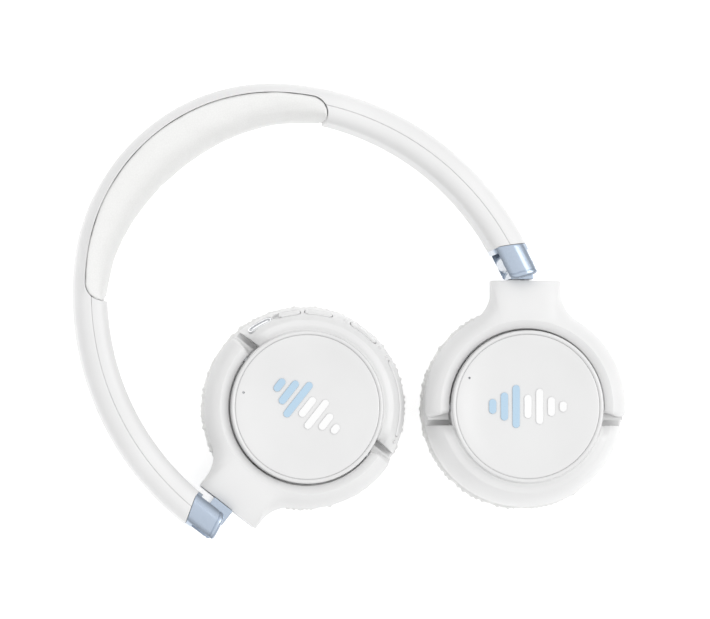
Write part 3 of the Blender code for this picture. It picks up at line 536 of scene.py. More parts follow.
def slanted_ends(piece, last_angle):
    """Lean the last ring of each arm to the slant of the arm's end."""
    for corner in piece.data.vertices:
        angle, depth = band_place(corner.co)
        if abs(angle) > math.radians(last_angle):
            side = 1 if angle > 0 else -1
            corner.co = band_point(side * arm_end(depth), depth, corner.co.z)
    return piece

# %% [markdown]
# ### Outer shell
# The shell's section is a flat U. Its outer corners are rounded by 3.4 mm, which gives the arms
# their soft tube-like highlight, and its inner edge is crisp where it meets the inner covers.
# Over the crown the edge draws back to make room for the pad. The channel inside holds the
# steel size sliders, which come out of the arms' ends.

# %% Outer shell
half = 12.0
shell_section = [(0.0, 3.0), (0.05, 6.0)]
shell_section += [(5.0 - 4.95 * math.cos(math.radians(t)), half - 4.2 + 4.2 * math.sin(math.radians(t)))
                  for t in (4, 14, 24, 34, 44, 54, 64, 74, 84, 90)]
shell_section += [(5.34, half - 0.02), (5.45, half - 0.08), (5.5, half - 0.2)]
shell_section += [(5.5, 8.2), (5.5, 7.5), (4.25, 7.5), (4.2, 0.0)]
mirrored = [(depth, -level) for depth, level in reversed(shell_section[:-1])]
shell_section = shell_section + mirrored

PAD_END, PAD_CORNER, PAD_TOP = math.radians(52.4), 6.5 * MM, 3.25 * MM


def pad_edge(angle):
    """How deep the pad's outer edge lies: a rounded corner at each of its two ends."""
    from_end = max(0.0, (PAD_END - abs(angle)) * (ARM_RADIUS - 7 * MM))
    short = max(0.0, PAD_CORNER - from_end)
    return PAD_TOP + PAD_CORNER - math.sqrt(PAD_CORNER ** 2 - short ** 2)


turns = [52.9, 52.4, 52.3, 52.2, 52.1, 52.0, 51.8, 51.6, 51.3, 51.0, 50.6, 50.1, 49.5, 48.8, 43]
stops = [-102.3, -96.5] + [-t for t in turns] + turns[::-1] + [96.5, 102.3]
shell = spun_along("outer_shell", shell_section, stops)
KEPT = 2.6 * MM
for corner in shell.data.vertices:
    angle, depth = band_place(corner.co)
    if depth > KEPT:
        inner = 5.5 * MM if abs(angle) > PAD_END else min(5.5 * MM, pad_edge(angle) - 0.03 * MM)
        share = (depth - KEPT) / (5.5 * MM - KEPT)
        corner.co = band_point(angle, KEPT + share * (inner - KEPT), corner.co.z)
slanted_ends(shell, 102.2)
for corner in shell.data.vertices:
    corner.co.z = BAND_LEVEL + corner.co.z * crown_widening(corner.co)
rounded(shell, 0.25 * MM, 2, 55)
smoothed(shell)
placed(shell, BAND_FRAME)
fitted(shell, SATIN_ABS, "white_plastic", "headband", "headband_outer_shell")

# %% [markdown]
# ### Inner covers
# Each arm is closed from inside by a cover that starts beside the pad and runs to the hinge.
# It is the same kind of section, facing the other way. The line between the two halves is a
# fine open joint with barely rounded edges, so it shows only as a hair of shadow. Beside the pad
# the cover starts on a curve, round the pad's corners.

# %% Inner covers
def cover_start(depth):
    """The angle at which a cover starts: a hair beyond the pad, and round the pad's corner."""
    up_corner = min(1.0, max(0.0, 1 - (depth - PAD_TOP) / PAD_CORNER))
    from_end = PAD_CORNER * (1 - math.sqrt(1 - up_corner ** 2))
    return PAD_END + (0.12 * MM - from_end) / (ARM_RADIUS - 7 * MM)


cover_section = [(5.53, 6.0), (5.53, half - 0.2), (5.58, half - 0.08), (5.69, half - 0.02),
                 (6.1, half)]
cover_section += [(6.6 + 4.6 * math.sin(math.radians(t)), half - 4.0 + 4.0 * math.cos(math.radians(t)))
                  for t in (2, 12, 22, 32, 42, 52, 62, 72, 82, 88)]
cover_section += [(11.2, 5.0), (11.2, 0.0)]
mirrored = [(depth, -level) for depth, level in reversed(cover_section[:-1])]
cover_section = cover_section + mirrored
for word, side in SIDES.items():
    stops = [52.6, 53.6, 96.5, 102.3] if side > 0 else [-102.3, -96.5, -53.6, -52.6]
    cover = spun_along(word + "_arm_cover", cover_section, stops)
    slanted_ends(cover, 102.2)
    for corner in cover.data.vertices:
        angle, depth = band_place(corner.co)
        if abs(angle) < math.radians(53):
            corner.co = band_point(side * cover_start(depth), depth, corner.co.z)
        corner.co.z = BAND_LEVEL + corner.co.z * crown_widening(corner.co)
    rounded(cover, 0.2 * MM, 2, 55)
    smoothed(cover)
    placed(cover, BAND_FRAME)
    fitted(cover, SATIN_ABS, "white_plastic", "headband", word + "_inner_cover")

# %% [markdown]
# ## Hinge sleeves
# A sleeve carries the band's section on past the end of the arm and is cut off square to the
# folded-out yoke. It is spun no further: two rings of the section would do, one on the arm's
# end and one on the end plane, and more beside them round off the lip and press a fine groove
# round it. A pocket cut from inside takes the knuckle.


# %% Points by their distance from the fold pin
PIN_AT = Vector((67.7, -113.2)) * MM
ARM_LEAN = math.radians(13.4)
OPEN_FOLD = math.radians(10.0)
HOUSING_REACH = 6.4 * MM


def hinge_point(side, axial, outward, level=0.0):
    """A point out of the arm by axial and away from the head by outward, from the pin."""
    along = Vector((-math.sin(ARM_LEAN), -math.cos(ARM_LEAN)))
    beside = Vector((math.cos(ARM_LEAN), -math.sin(ARM_LEAN)))
    spot = PIN_AT + axial * along + outward * beside
    return Vector((side * spot.x, spot.y, level))


def sleeve_end(outward):
    """How far out the sleeve reaches: a plane, rounded off about the pin on the inner side."""
    if outward > HOUSING_REACH * math.sin(OPEN_FOLD):
        return (HOUSING_REACH + outward * math.sin(OPEN_FOLD)) / math.cos(OPEN_FOLD)
    return math.sqrt(HOUSING_REACH ** 2 - outward ** 2)


# %% Hinge sleeves
sleeve_section = [(0.0, 3.0), (0.05, 6.0)]
sleeve_section += [(5.0 - 4.95 * math.cos(math.radians(t)), half - 4.2 + 4.2 * math.sin(math.radians(t)))
                   for t in (4, 12, 20, 28, 36, 44, 52, 60, 68, 76, 84, 90)]
sleeve_section += [(6.2 + 5.0 * math.sin(math.radians(t)), half - 4.0 + 4.0 * math.cos(math.radians(t)))
                   for t in (4, 12, 20, 28, 36, 44, 52, 60, 68, 76, 84)]
sleeve_section += [(11.2, 5.0), (11.2, 0.0)]
mirrored = [(depth, -level) for depth, level in reversed(sleeve_section[1:-1])]
sleeve_section = [(0.0, 0.0)] + sleeve_section + mirrored
POCKET_HALF, STRIP_HALF, STRIP_FROM, STRIP_TO, SLOT_TURN = 10.3, 7.3, 4.2, 5.6, 0.08
POCKET = [(-4.4, -12), (-4.4, 0), (-3.3, 2.4), (-1.6, 3.9), (-1.2, 4.2), (-1.2, 12), (14, 12),
          (14, -12)]
# each ring: where it is, how far it stands off the cut there, and how far it is drawn in
LIP = 1.1
LAST_RINGS = [(LIP - LIP * math.sin(math.radians(t)), LIP - LIP * math.cos(math.radians(t)))
              for t in (0, 15, 30, 45, 60, 75, 90)]
SLEEVE_RINGS = [("arm", 0.15, 0.15), ("arm", 0.2, 0.05), ("arm", 0.3, 0.0), ("arm", 1.2, 0.0)]
SLEEVE_RINGS += [("end", 2.3, 0.0), ("end", 2.05, 0.0), ("end", 1.95, 0.13), ("end", 1.75, 0.13),
                 ("end", 1.65, 0.0)]
SLEEVE_RINGS += [("end", back, drawn_in) for back, drawn_in in LAST_RINGS]


def drawn_section(section, distance):
    """The section with every corner moved inwards by the same distance."""
    moved = []
    for number, (depth, level) in enumerate(section):
        before, after = section[number - 1], section[(number + 1) % len(section)]
        along = Vector((after[0] - before[0], after[1] - before[1])).normalized()
        moved.append((depth + along.y * distance, level - along.x * distance))
    return moved


for word, side in SIDES.items():
    rings = []
    for where, stand_off, drawn_in in SLEEVE_RINGS:
        ring = []
        for depth, level in drawn_section(sleeve_section, drawn_in):
            if where == "arm":
                angle = arm_end(depth * MM) + stand_off * MM / ARM_RADIUS
                ring.append(band_point(side * angle, depth * MM, BAND_LEVEL + level * MM))
            else:
                outward = 6.6 * MM - depth * MM
                axial = sleeve_end(outward) - stand_off * MM
                ring.append(hinge_point(side, axial, outward, BAND_LEVEL + level * MM))
        rings.append(ring)
    sleeve = lofted(word + "_hinge_sleeve", rings)
    corners = [hinge_point(side, a * MM, t * MM) for a, t in POCKET]
    pocket = slab("pocket", corners, BAND_LEVEL - POCKET_HALF * MM, BAND_LEVEL + POCKET_HALF * MM)
    combined(sleeve, pocket)
    slot_turns = [ARM_END - SLOT_TURN, ARM_END + SLOT_TURN]
    corners = [band_point(side * t, STRIP_FROM * MM) for t in slot_turns]
    corners += [band_point(side * t, STRIP_TO * MM) for t in reversed(slot_turns)]
    strip_slot = slab("strip_slot", corners, BAND_LEVEL - STRIP_HALF * MM,
                      BAND_LEVEL + STRIP_HALF * MM)
    combined(sleeve, strip_slot)
    smoothed(sleeve, 30)
    placed(sleeve, BAND_FRAME)
    fitted(sleeve, BLUE_LACQUER, "blue_metal", word + "_slider", word + "_hinge_housing")


# %% [markdown]
# ### Knuckles
# The knuckle is a die-cast block with a round barrel on the fold pin and a flat end against the
# yoke's neck. Its outline is drawn once for each side and extruded.

# %% Knuckles
for word, side in SIDES.items():
    barrel = [(3.8 * math.cos(math.radians(t)), 3.8 * math.sin(math.radians(t)))
              for t in range(60, 251, 10)]
    block = [(-1.0, -3.7), (-1.0, -6.4), (6.8, -6.4), (6.8, -0.4)]
    outline = [(side * x * MM, y * MM) for x, y in barrel + block]
    knuckle = slab(word + "_knuckle_block", outline, BAND_LEVEL - 10 * MM, BAND_LEVEL + 10 * MM)
    rounded(knuckle, 0.35 * MM, 3, 40)
    bore = [(1.8 * MM * math.cos(t * math.pi / 16), 1.8 * MM * math.sin(t * math.pi / 16))
            for t in range(32)]
    combined(knuckle, slab("bore", bore, BAND_LEVEL - 15 * MM, BAND_LEVEL + 15 * MM))
    smoothed(knuckle, 30)
    placed(knuckle, KNUCKLE_FRAME[word])
    fitted(knuckle, BLUE_LACQUER, "blue_metal", word + "_knuckle", word + "_hinge_knuckle")

# %% [markdown]
# ## Yokes
# A yoke is a horseshoe round the cap that flares into a neck. Seen from above it has a level
# inner ring, a crease, and a long curve down to the outer edge. A grid is pressed to that form:
# each row of it lies on one ray from the cup's centre, and the columns go from the inner edge
# over the crease to the outline. Then it is extruded down to its flat underside.

# %% The yoke's outline, from one arm's end over the neck to the other
YOKE_OUTER, YOKE_INNER, CREASE = 34.3, 26.5, 29.6
NECK_HALF, NECK_END, FILLET = 12.0, 42.9, 12.0
EDGE_LEVEL, NECK_RISE, TIP_ROUND = 23.6, 2.9, 3.0
CREASE_LEVEL, UNDERSIDE, LOWEST_TOP = 28.45, 22.9, 23.4
ARM_TIP = math.asin(4.4 / YOKE_OUTER)
fillet_x = NECK_HALF + FILLET
fillet_y = math.sqrt((YOKE_OUTER + FILLET) ** 2 - fillet_x ** 2)
join = math.atan2(fillet_y, fillet_x)
half_outline = []
TIP_STEPS = [0.0, 0.1, 0.25, 0.5, 0.8, 1.2, 1.7, 2.3, 3.0, 3.8]
TIP_STEPS += [4.8 + ((join + ARM_TIP) * YOKE_OUTER - 4.8) * i / 34 for i in range(35)]
for from_tip in TIP_STEPS:
    turn = -ARM_TIP + from_tip / YOKE_OUTER
    round_off = TIP_ROUND - math.sqrt(TIP_ROUND ** 2 - max(0.0, TIP_ROUND - from_tip) ** 2)
    radius = YOKE_OUTER - round_off
    half_outline.append((radius * math.cos(turn), radius * math.sin(turn), EDGE_LEVEL))
for i in range(1, 15):
    turn = join + math.pi + (math.pi - join - math.pi) * i / 14
    half_outline.append((fillet_x + FILLET * math.cos(turn),
                         fillet_y + FILLET * math.sin(turn), EDGE_LEVEL))
half_outline.append((NECK_HALF, (fillet_y + NECK_END) / 2, EDGE_LEVEL))
for i in range(17):
    x = NECK_HALF * math.cos(math.pi / 2 * i / 16)
    half_outline.append((x, NECK_END, EDGE_LEVEL + NECK_RISE * (1 - (x / NECK_HALF) ** 5)))
outline = half_outline + [(-x, y, z) for x, y, z in reversed(half_outline[:-1])]
print("yoke outline of", len(outline), "points")

# %% Press the grid and make both yokes
INNER_COLUMNS = [(YOKE_INNER, 27.2), (YOKE_INNER + 0.15, 27.6), (YOKE_INNER + 0.5, 27.8),
                 (28.2, 28.15), (CREASE - 0.2, 28.5), (CREASE, CREASE_LEVEL)]
OUTER_STEPS = [0.06, 0.15, 0.27, 0.4, 0.53, 0.66, 0.78, 0.88, 0.95, 1.0]


def over_crease(w):
    """How far the curve outside the crease has fallen, as a share, at a share of the way out."""
    return 0.5 * w + 0.5 * w ** 3


TIP_ROLL, TIP_FALL = 2.4, 1.3
rows, levels = [], []
for x, y, edge_level in outline:
    reach = math.hypot(x, y)
    ray = (x / reach, y / reach)
    spots = [(r, z) for r, z in INNER_COLUMNS]
    for w in OUTER_STEPS:
        spots.append((CREASE + (reach - CREASE) * w,
                      CREASE_LEVEL - (CREASE_LEVEL - edge_level) * over_crease(w)))
    # the tips are cut back a little towards the cap
    near_tip = max(0.0, 1 - (math.atan2(y, abs(x)) + ARM_TIP) / 0.16)
    from_tip = (math.atan2(y, abs(x)) + ARM_TIP) * YOKE_OUTER
    short = max(0.0, TIP_ROLL - from_tip)
    fall = TIP_FALL * (1 - math.sqrt(1 - (short / TIP_ROLL) ** 2))
    row = []
    for r, z in spots:
        turn = math.copysign(0.055 * near_tip * (YOKE_OUTER - r) / (YOKE_OUTER - YOKE_INNER), x)
        row.append(((ray[0] * math.cos(turn) - ray[1] * math.sin(turn)) * r * MM,
                    (ray[0] * math.sin(turn) + ray[1] * math.cos(turn)) * r * MM))
    rows.append(row)
    levels.append([max(z - fall, LOWEST_TOP) * MM for r, z in spots])

for word, side in SIDES.items():
    yoke = formed(word + "_yoke_shell", rows, lambda r, c: levels[r][c], lambda r, c: UNDERSIDE * MM)
    rounded(yoke, 0.3 * MM, 3, 60)
    smoothed(yoke, 24)
    placed(yoke, CUP_FRAME[word])
    fitted(yoke, SATIN_ABS, "white_plastic", word + "_yoke", word + "_yoke_cover")

# %% [markdown]
# ## Cups
# A cup is a spun drum and flange, with a rim that stands up only on the side away from the neck,
# where the yoke leaves it free. The rim carries on the line of the yoke: a level ring, a crease
# and a curve down to the edge, so it is pressed from a grid in the same way and joined on.

# %% The rim's curve
RIM_OUTER, RIM_TOP, RIM_LOW = 34.0, 27.6, 19.0
RIM_START, RIM_DIP, DIP_RUN, RIM_BOTTOM = 6.4, 3.2, 5.5, 15.7


def rim_point(turn, w, lift=0.0):
    """A point over the rim's outer curve. turn is measured from the side away from the neck."""
    radius = CREASE + (RIM_OUTER - CREASE) * w
    level = RIM_TOP - (RIM_TOP - RIM_LOW) * over_crease(w)
    slope = -(RIM_TOP - RIM_LOW) * (0.5 + 1.5 * w ** 2) / (RIM_OUTER - CREASE)
    long = math.hypot(1.0, slope)
    radius += lift * -slope / long
    level += lift / long
    angle = turn - math.pi / 2
    return Vector((radius * math.cos(angle), radius * math.sin(angle), level)) * MM


# %% Housing drum, flange and rim
HOUSING_PROFILE = [(23.8, 29.4), (25.1, 29.4), (25.3, 29.2), (25.3, 27.3), (25.95, 26.6), (25.95, 22.6),
                   (25.3, 21.9), (25.3, 17.2), (25.6, 16.5),
                   (26.3, 16.2), (32.8, 16.2), (33.6, 16.0), (34.0, 15.4), (34.0, 13.6),
                   (33.7, 13.3), (32.2, 13.3), (32.2, 15.0), (23.8, 15.0)]
housing = turned("cup_shell", HOUSING_PROFILE)

RIM_COLUMNS = [(24.7, 29.5), (25.9, 29.5), (26.5, 29.35), (27.0, 28.8), (27.6, 28.35), (28.4, 28.1),
               (CREASE - 0.2, 27.75)]
RIM_STEPS = [0.0, 0.08, 0.2, 0.33, 0.46, 0.59, 0.7, 0.8, 0.9, 1.0]
rows, levels = [], []
for i in range(73):
    share = i / 72
    row, level_row = [], []
    spots = [(r, z) for r, z in RIM_COLUMNS]
    for w in RIM_STEPS:
        spot = rim_point(math.pi / 2, w)
        spots.append((spot.x / MM, spot.z / MM))
    for r, z in spots:
        # the rim ends on a straight line 6.4 mm beyond the cup's middle
        start = math.asin(RIM_START / r) - math.pi
        angle = start + (-math.pi - 2 * start) * share
        from_end = min(share, 1 - share) * (math.pi - 2 * math.asin(RIM_START / r)) * r
        dip = RIM_DIP * max(0.0, 1 - from_end / DIP_RUN) ** 2
        row.append((r * MM * math.cos(angle), r * MM * math.sin(angle)))
        level_row.append((z - dip) * MM)
    rows.append(row)
    levels.append(level_row)
rim = formed("rim", rows, lambda r, c: levels[r][c], lambda r, c: RIM_BOTTOM * MM)
rounded(rim, 0.5 * MM, 3, 60)
combined(housing, rim, "UNION")
print("cup shell has", len(housing.data.polygons), "faces")

# %% [markdown]
# ### Controls on the rim
# The right cup's rim carries two pill-shaped buttons, a glossy bar, a long rocker and a charging
# socket. A pill is a grid whose rows narrow towards both ends. It is bent on to the rim's
# curve, once a little larger to cut the window and once to make the control itself.


# %% A pill bent on to the rim
RIM_MIDDLE, CURVE_LENGTH = 33.0, 8.5    # its radius, and the way over the curve as w goes 0 to 1


def pill(name, middle, length, width, low, high, crown, w_middle=0.62):
    """middle in degrees from the side away from the neck; sizes in millimetres."""
    radius = length / 2 - width / 2
    count, columns = max(13, round(length)), 9
    stations = [-math.cos(math.pi * i / (count - 1)) for i in range(count)]
    flat = []
    for s in stations:
        along = s * length / 2
        past = max(0.0, abs(along) - radius)
        half_width = math.sqrt(max(0.0, (width / 2) ** 2 - past ** 2)) + 0.02
        flat.append([(along, half_width * math.sin(math.pi / 2 * (2 * c / (columns - 1) - 1)))
                     for c in range(columns)])
    piece = formed(name, [[(0.0 + r, 0.0 + c) for c in range(columns)] for r in range(count)],
                   lambda r, c: 1.0, lambda r, c: 0.0)
    for corner in piece.data.vertices:
        row, column = round(corner.co.x), round(corner.co.y)
        along, across_rim = flat[row][column]
        edge = max(abs(2 * across_rim / width), max(0.0, abs(along) - radius) * 2 / width)
        lift = high - crown * edge ** 4 if corner.co.z > 0.5 else low
        corner.co = rim_point(math.radians(middle) + along / RIM_MIDDLE,
                              w_middle + across_rim / CURVE_LENGTH, lift)
    return closed(piece)


CONTROLS = {"power_switch": (50.0, 7.6), "function_button": (30.5, 9.6),
            "play_button": (0.6, 11.0), "volume_rocker": (-46.0, 26.8)}
SWITCH_TRAVEL = 2.0
right_housing = copied(housing, "right_cup_shell")
left_housing = copied(housing, "left_cup_shell")
dropped(housing)
for name, (middle, length) in CONTROLS.items():
    width = 2.0 if name == "volume_rocker" else 2.8
    room = SWITCH_TRAVEL if name == "power_switch" else 0.0
    window = pill("window", middle, length + room + 0.7, width + 0.6, -0.9, 2.5, 0.0)
    combined(right_housing, window)
    offset = -math.degrees(SWITCH_TRAVEL / 2 / RIM_MIDDLE) if name == "power_switch" else 0.0
    control = pill(name + "_key", middle + offset, length, width, -0.8, 0.35, 0.35)
    smoothed(control, 50)
    placed(control, CUP_FRAME["right"])
    gloss = name == "play_button"
    fitted(control, POLISHED_ABS if gloss else SATIN_ABS,
           "gloss_white" if gloss else "white_plastic", name, name)

# %% Charging socket's mouth and the finger dots
mouth = pill("mouth", 67.5, 9.4, 3.4, -3.2, 3.0, 0.0)
combined(right_housing, mouth)
socket = pill("charging_socket", 67.5, 9.1, 3.1, -3.0, -0.1, 0.0)
combined(socket, pill("inside", 67.5, 8.3, 2.3, -0.8, 3.0, 0.0))
combined(socket, pill("tongue", 67.5, 6.4, 0.8, -1.2, -0.35, 0.0), "UNION")
smoothed(socket, 40)
placed(socket, CUP_FRAME["right"])
fitted(socket, BRIGHT_NICKEL, "steel", "right_cup", "usb_socket")
bpy.ops.object.select_all(action="DESELECT")
dots = []
for turn in (0.6 - 13.2, 0.6 + 13.2, -46 - 27.0, -46 + 26.5):
    spot = rim_point(math.radians(turn), 0.62, 0.0)
    bpy.ops.mesh.primitive_uv_sphere_add(segments=16, ring_count=10, radius=0.55 * MM, location=spot)
    dots.append(bpy.context.object)
for dot in dots:
    dot.select_set(True)
bpy.ops.object.join()
dots = named("right_rim_dots")
bpy.ops.object.transform_apply(location=True, rotation=True, scale=True)
smoothed(dots, 60)
placed(dots, CUP_FRAME["right"])
fitted(dots, POLISHED_ABS, "gloss_white", "right_cup")

# %% Finish both cup shells
for word, cup_shell in (("left", left_housing), ("right", right_housing)):
    smoothed(cup_shell, 26)
    placed(cup_shell, CUP_FRAME[word])
    fitted(cup_shell, SATIN_ABS, "white_plastic", word + "_cup", word + "_cup_housing")

# %% [markdown]
# ### Caps and trim rings
# The cap is a polished disc, dished by less than a millimetre, inside a thin raised ring. Both
# are spun. A tiny hole near the front edge lets sound through to the microphone.

# %% Caps, trim rings and microphone holes
CAP_PROFILE = [(0.0, 29.9), (6.0, 29.92), (11.0, 29.97), (14.0, 30.06), (16.5, 30.2),
               (18.5, 30.36), (20.3, 30.55), (21.8, 30.72), (23.0, 30.84), (23.95, 30.88),
               (24.28, 30.84), (24.4, 30.74), (24.4, 29.7), (0.0, 29.7)]
TRIM_PROFILE = [(24.44, 30.8), (24.6, 31.05), (24.95, 31.25), (25.3, 31.3), (25.65, 31.1),
                (25.85, 30.7), (25.85, 30.2), (25.4, 29.7), (24.45, 29.7)]
for word, side in SIDES.items():
    cap = turned(word + "_cap_disc", CAP_PROFILE)
    hole = [(-side * 20.0 * MM + 0.42 * MM * math.cos(t * math.pi / 8),
             9.6 * MM + 0.42 * MM * math.sin(t * math.pi / 8)) for t in range(16)]
    combined(cap, slab("mic_hole", hole, 28 * MM, 33 * MM))
    smoothed(cap, 40)
    placed(cap, CUP_FRAME[word])
    fitted(cap, POLISHED_ABS, "gloss_white", word + "_cup", word + "_cap_plate")
    ring = turned(word + "_trim_ring", TRIM_PROFILE)
    smoothed(ring, 60)
    placed(ring, CUP_FRAME[word])
    fitted(ring, POLISHED_ABS, "gloss_white", word + "_cup", word + "_cap_trim_ring")

# %% [markdown]
# ### Sound-wave bars
# A row of rounded bars, like a picture of a sound, is printed thick on each cap. The first
# three bars are blue and the rest white. A bar is a rounded slab, made once for each height.

# %% Sound-wave bars
BAR_HEIGHTS = [5.0, 9.5, 14.5, 8.0, 12.0, 6.5, 3.6]
BAR_WIDTH, BAR_PITCH, BLUE_BARS = 2.5, 4.0, 3
for word, side in SIDES.items():
    groups = {"blue": [], "white": []}
    for number, tall in enumerate(BAR_HEIGHTS):
        x = side * (number - 3) * BAR_PITCH
        radius = BAR_WIDTH / 2
        straight = tall / 2 - radius
        outline = [(x + radius * math.cos(math.radians(t)),
                    (straight if t <= 180 else -straight) + radius * math.sin(math.radians(t)))
                   for t in range(0, 361, 12) if t != 360]
        outline = [(px * MM, py * MM) for px, py in outline]
        level = (29.92 + 0.0012 * (x * x)) * MM
        made = slab("bar", outline, level - 0.1 * MM, level + 0.42 * MM)
        rounded(made, 0.14 * MM, 3, 50)
        groups["blue" if number < BLUE_BARS else "white"].append(made)
    for colour, members in groups.items():
        take(members[0])
        for member in members:
            member.select_set(True)
        bpy.ops.object.join()
        bars = named(f"{word}_{colour}_wave_bars")
        smoothed(bars, 50)
        placed(bars, CUP_FRAME[word])
        fitted(bars, EMBLEM_BLUE if colour == "blue" else EMBLEM_WHITE, "gloss_white",
               word + "_cup")

# %% [markdown]
# ## Soft pads
# The pads are foam in a leather skin. A plain ring or bolster would look turned on a lathe, so
# each one is swelled like the real skin over foam: it is remeshed evenly, blown up a little by
# a cloth simulation under pressure, and held where it is glued down. The simulation works at
# twenty times life size, where the cloth solver behaves well, and is scaled back.

# %% Swell a pad with a cloth simulation
LARGER = 20.0


def swelled(piece, voxel, pressure, most, held):
    """Voxel remesh, then blow up by pressure. Corners for which held() is true stay."""
    take(piece)
    piece.data.remesh_voxel_size = voxel * MM
    piece.data.remesh_voxel_adaptivity = 0.0
    bpy.ops.object.voxel_remesh()
    rest = [corner.co.copy() for corner in piece.data.vertices]
    group = piece.vertex_groups.new(name="glued")
    group.add([i for i, co in enumerate(rest) if held(co)], 1.0, "REPLACE")
    for corner in piece.data.vertices:
        corner.co *= LARGER
    cloth = piece.modifiers.new("skin", "CLOTH")
    skin = cloth.settings
    skin.quality = 5
    skin.mass = 0.3
    skin.vertex_group_mass = "glued"
    skin.use_pressure = True
    skin.uniform_pressure_force = pressure
    skin.effector_weights.gravity = 0.0
    cloth.point_cache.frame_start, cloth.point_cache.frame_end = 1, 20
    scene = bpy.context.scene
    for number in range(1, 21):
        scene.frame_set(number)
    take(piece)
    bpy.ops.object.modifier_apply(modifier=cloth.name)
    scene.frame_set(1)
    moved = []
    for corner, start in zip(piece.data.vertices, rest):
        step = corner.co / LARGER - start
        if step.length > most * MM:
            step = step.normalized() * most * MM
        moved.append(step.length / MM)
        corner.co = start + step
    print(f"{piece.name} swelled by up to {max(moved):.2f} mm,"
              f" {sum(moved) / len(moved):.2f} mean")
    fine = piece.modifiers.new("fine", "SUBSURF")
    fine.levels = fine.render_levels = 1
    bpy.ops.object.modifier_apply(modifier=fine.name)
    return piece


# %% [markdown]
# ### Ear pads
# The ring of foam is 69 mm across and 13 mm high. Its skin is sewn to the back plate under the
# cup's flange, and is gathered there into dozens of small puckers, which show all round the
# cup as an uneven edge. They are pressed in after the swelling, which would wipe them out.

# %% Ear pads
PAD_PROFILE = [(16.3, 12.9), (33.4, 12.9), (34.2, 12.0), (34.6, 10.0), (34.4, 7.0), (33.8, 4.2),
               (32.2, 1.9), (29.6, 0.7), (25.5, 0.35), (21.5, 0.7), (18.8, 1.9), (17.2, 4.0),
               (16.4, 7.0), (16.3, 10.0)]
pad = turned("ear_pad_master", PAD_PROFILE, 120)
swelled(pad, 1.35, 5.0, 0.9, lambda co: co.z > 11.6 * MM)
random.seed(7)
puckers, turn = [], 0.0
while turn < 2 * math.pi:
    puckers.append((turn, random.uniform(0.3, 1.0), random.uniform(0.018, 0.03)))
    turn += random.uniform(0.042, 0.07)


def pucker_height(angle):
    """A row of uneven little folds round the pad, from 0 between folds to 1 on a crest."""
    best = 0.0
    for middle_at, strength, spread_of in puckers:
        away = (angle - middle_at + math.pi) % (2 * math.pi) - math.pi
        if abs(away) < spread_of * 2:
            best = max(best, strength * math.cos(away / (spread_of * 2) * math.pi / 2) ** 2)
    return best


for corner in pad.data.vertices:
    radius = math.hypot(corner.co.x, corner.co.y)
    level = corner.co.z / MM
    if radius > 30 * MM:
        near_seam = max(0.0, 1 - abs(level - 10.6) / 4.2)
        wall = min(1.0, (radius / MM - 30) / 3)
        fold = pucker_height(math.atan2(corner.co.y, corner.co.x) % (2 * math.pi))
        push = (1.25 * fold - 0.35) * near_seam * wall
        seam = -0.5 * math.exp(-((level - 12.2) / 0.5) ** 2) * wall
        corner.co.x *= 1 + (push + seam) * MM / radius
        corner.co.y *= 1 + (push + seam) * MM / radius
    wrinkle = noise.noise(corner.co / (5 * MM)) * 0.18 + noise.noise(corner.co / (2.1 * MM)) * 0.07
    corner.co.z += wrinkle * MM * (1 if 0.8 < level < 11 else 0)
    corner.co.z = min(max(corner.co.z, 0.0), 13.0 * MM)
for word in SIDES:
    ear_pad = copied(pad, word + "_ear_cushion")
    take(ear_pad)
    bpy.ops.object.shade_smooth()
    placed(ear_pad, CUP_FRAME[word])
    fitted(ear_pad, LEATHER, "white_leather", word + "_cup", word + "_ear_pad")
dropped(pad)

# %% Driver scrims, seen through the pads from below
SCRIM_PROFILE = [(0.0, 12.2), (6.0, 12.25), (12.0, 12.4), (14.6, 12.45), (15.2, 12.3),
                 (15.6, 12.5), (15.6, 12.9), (0.0, 12.9)]
for word in SIDES:
    scrim = turned(word + "_driver_scrim", SCRIM_PROFILE, 96)
    smoothed(scrim, 50)
    placed(scrim, CUP_FRAME[word])
    fitted(scrim, SCRIM, "white_cloth", word + "_cup", word + "_pad_scrim")

# %% [markdown]
# ### Crown pad
# The pad under the crown is thickest in the middle and thins towards both ends, where it butts
# against the arm covers. Its skin wraps round a plastic base, so it starts right under the
# shell. The section is spun like the others, and then its inner edge is let out by the angle.

# %% Crown pad
pad_section = [(3.5, 0.0), (3.5, 9.0), (3.5, 10.8), (3.55, 11.5), (4.0, 11.75), (5.2, 11.8),
               (7.0, 11.7), (9.0, 11.3), (11.0, 10.4), (12.4, 8.8), (13.2, 6.2), (13.5, 3.0)]
PAD_STOPS = [43, 48.8, 49.8, 50.8, 51.6, 52.1, 52.4]
mirrored = [(depth, -level) for depth, level in reversed(pad_section[1:])]
crown_pad = spun_along("crown_pad", pad_section + [(13.5, 0.0)] + mirrored,
                       [-stop for stop in reversed(PAD_STOPS)] + PAD_STOPS, 3.0)
for corner in crown_pad.data.vertices:
    angle, depth = band_place(corner.co)
    share = math.cos(math.pi / 2 * min(1.0, abs(angle) / PAD_END))
    inner = 10.3 * MM + 6.9 * MM * share
    out = (depth - 3.5 * MM) / (10 * MM)
    top_of_pad = pad_edge(angle)
    corner.co = band_point(angle, top_of_pad + out * (inner - top_of_pad), corner.co.z)
for corner in crown_pad.data.vertices:
    corner.co.z = BAND_LEVEL + corner.co.z * crown_widening(corner.co)
closed(crown_pad)
rounded(crown_pad, 0.25 * MM, 2, 55)
swelled(crown_pad, 1.2, 4.0, 0.7,
        lambda co: (band_place(co)[1] < pad_edge(band_place(co)[0]) + 1.0 * MM
                    or abs(band_place(co)[0]) > PAD_END - 0.02))
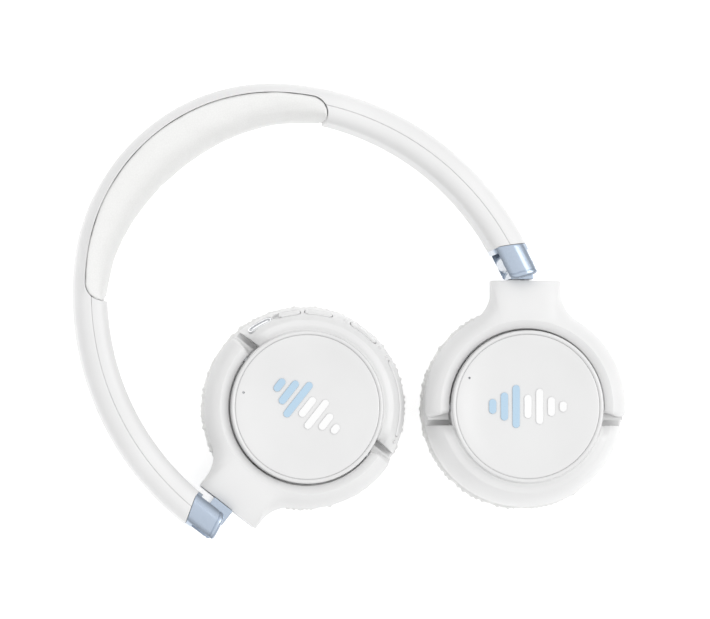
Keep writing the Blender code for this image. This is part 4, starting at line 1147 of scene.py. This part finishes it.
for corner in crown_pad.data.vertices:
    wrinkle = noise.noise(corner.co / (6 * MM)) * 0.16 + noise.noise(corner.co / (2.4 * MM)) * 0.06
    corner.co += corner.normal * wrinkle * MM
take(crown_pad)
bpy.ops.object.shade_smooth()
placed(crown_pad, BAND_FRAME)
fitted(crown_pad, LEATHER, "white_leather", "headband", "headband_cushion", "cushion_base")

# %% [markdown]
# ## Table, light and camera
# The object lies on a bright white table under a very soft overhead light, with a darker
# surround that draws the edges. The camera looks almost straight down through a long lens.

# %% Table
bpy.ops.object.select_all(action="DESELECT")
bpy.ops.mesh.primitive_plane_add(size=6.0, location=(0, 0, 0))
table = named("table")
TABLE_WHITE, tree, shader = finish("white_table_top", "#ffffff", 0.9)
shader.inputs["Specular IOR Level"].default_value = 0.0
shader.inputs["Emission Color"].default_value = linear("#ffffff")
shader.inputs["Emission Strength"].default_value = 0.3
table.data.materials.append(TABLE_WHITE)


# %% Lights
def softbox(name, where, size, power, aim=(0, 0, 0)):
    light = bpy.data.lights.new(name, "AREA")
    light.shape = "RECTANGLE"
    light.size, light.size_y = size
    light.energy = power
    lamp = bpy.data.objects.new(name, light)
    lamp.location = where
    lamp.rotation_euler = (Vector(aim) - Vector(where)).to_track_quat("-Z", "Y").to_euler()
    bpy.context.scene.collection.objects.link(lamp)
    return lamp


softbox("key_right", (1.1, 0.1, 1.3), (0.7, 1.2), 7)
softbox("crown_side", (-0.5, 1.1, 1.2), (1.0, 0.4), 1.2)
world = bpy.data.worlds.new("bright_room")
bpy.context.scene.world = world
world.use_nodes = True
background = world.node_tree.nodes["Background"]
sky = add(world.node_tree, "ShaderNodeTexCoord")
height_up = add(world.node_tree, "ShaderNodeSeparateXYZ", None, {0: sky.outputs["Generated"]})
ceiling = add(world.node_tree, "ShaderNodeValToRGB", None, {0: height_up.outputs["Z"]})
ceiling.color_ramp.elements[0].position, ceiling.color_ramp.elements[1].position = 0.0, 0.75
ceiling.color_ramp.elements[0].color = linear("#8c8c8c")
ceiling.color_ramp.elements[1].color = linear("#ffffff")
world.node_tree.links.new(ceiling.outputs["Color"], background.inputs["Color"])
background.inputs["Strength"].default_value = 1.25
bpy.context.scene.view_settings.view_transform = "Standard"

# %% Camera
FRAME_WIDTH = 241.4 * MM
CAMERA_AWAY = 2.0
toward_camera = Vector((-0.088, -0.034, 1.0)).normalized()
aim_at = Vector((1.6, 1.4, 20.0)) * MM
right = Vector((1, 0, 0))
right = (right - right.dot(toward_camera) * toward_camera).normalized()
upward = toward_camera.cross(right)
camera = bpy.data.objects.new("camera", bpy.data.cameras.new("camera"))
turn_to = Matrix((right, upward, toward_camera)).transposed().to_4x4()
camera.matrix_world = Matrix.Translation(aim_at + CAMERA_AWAY * toward_camera) @ turn_to
camera.data.lens = camera.data.sensor_width * CAMERA_AWAY / FRAME_WIDTH
camera.data.clip_end = 20.0
bpy.context.scene.collection.objects.link(camera)
bpy.context.scene.camera = camera
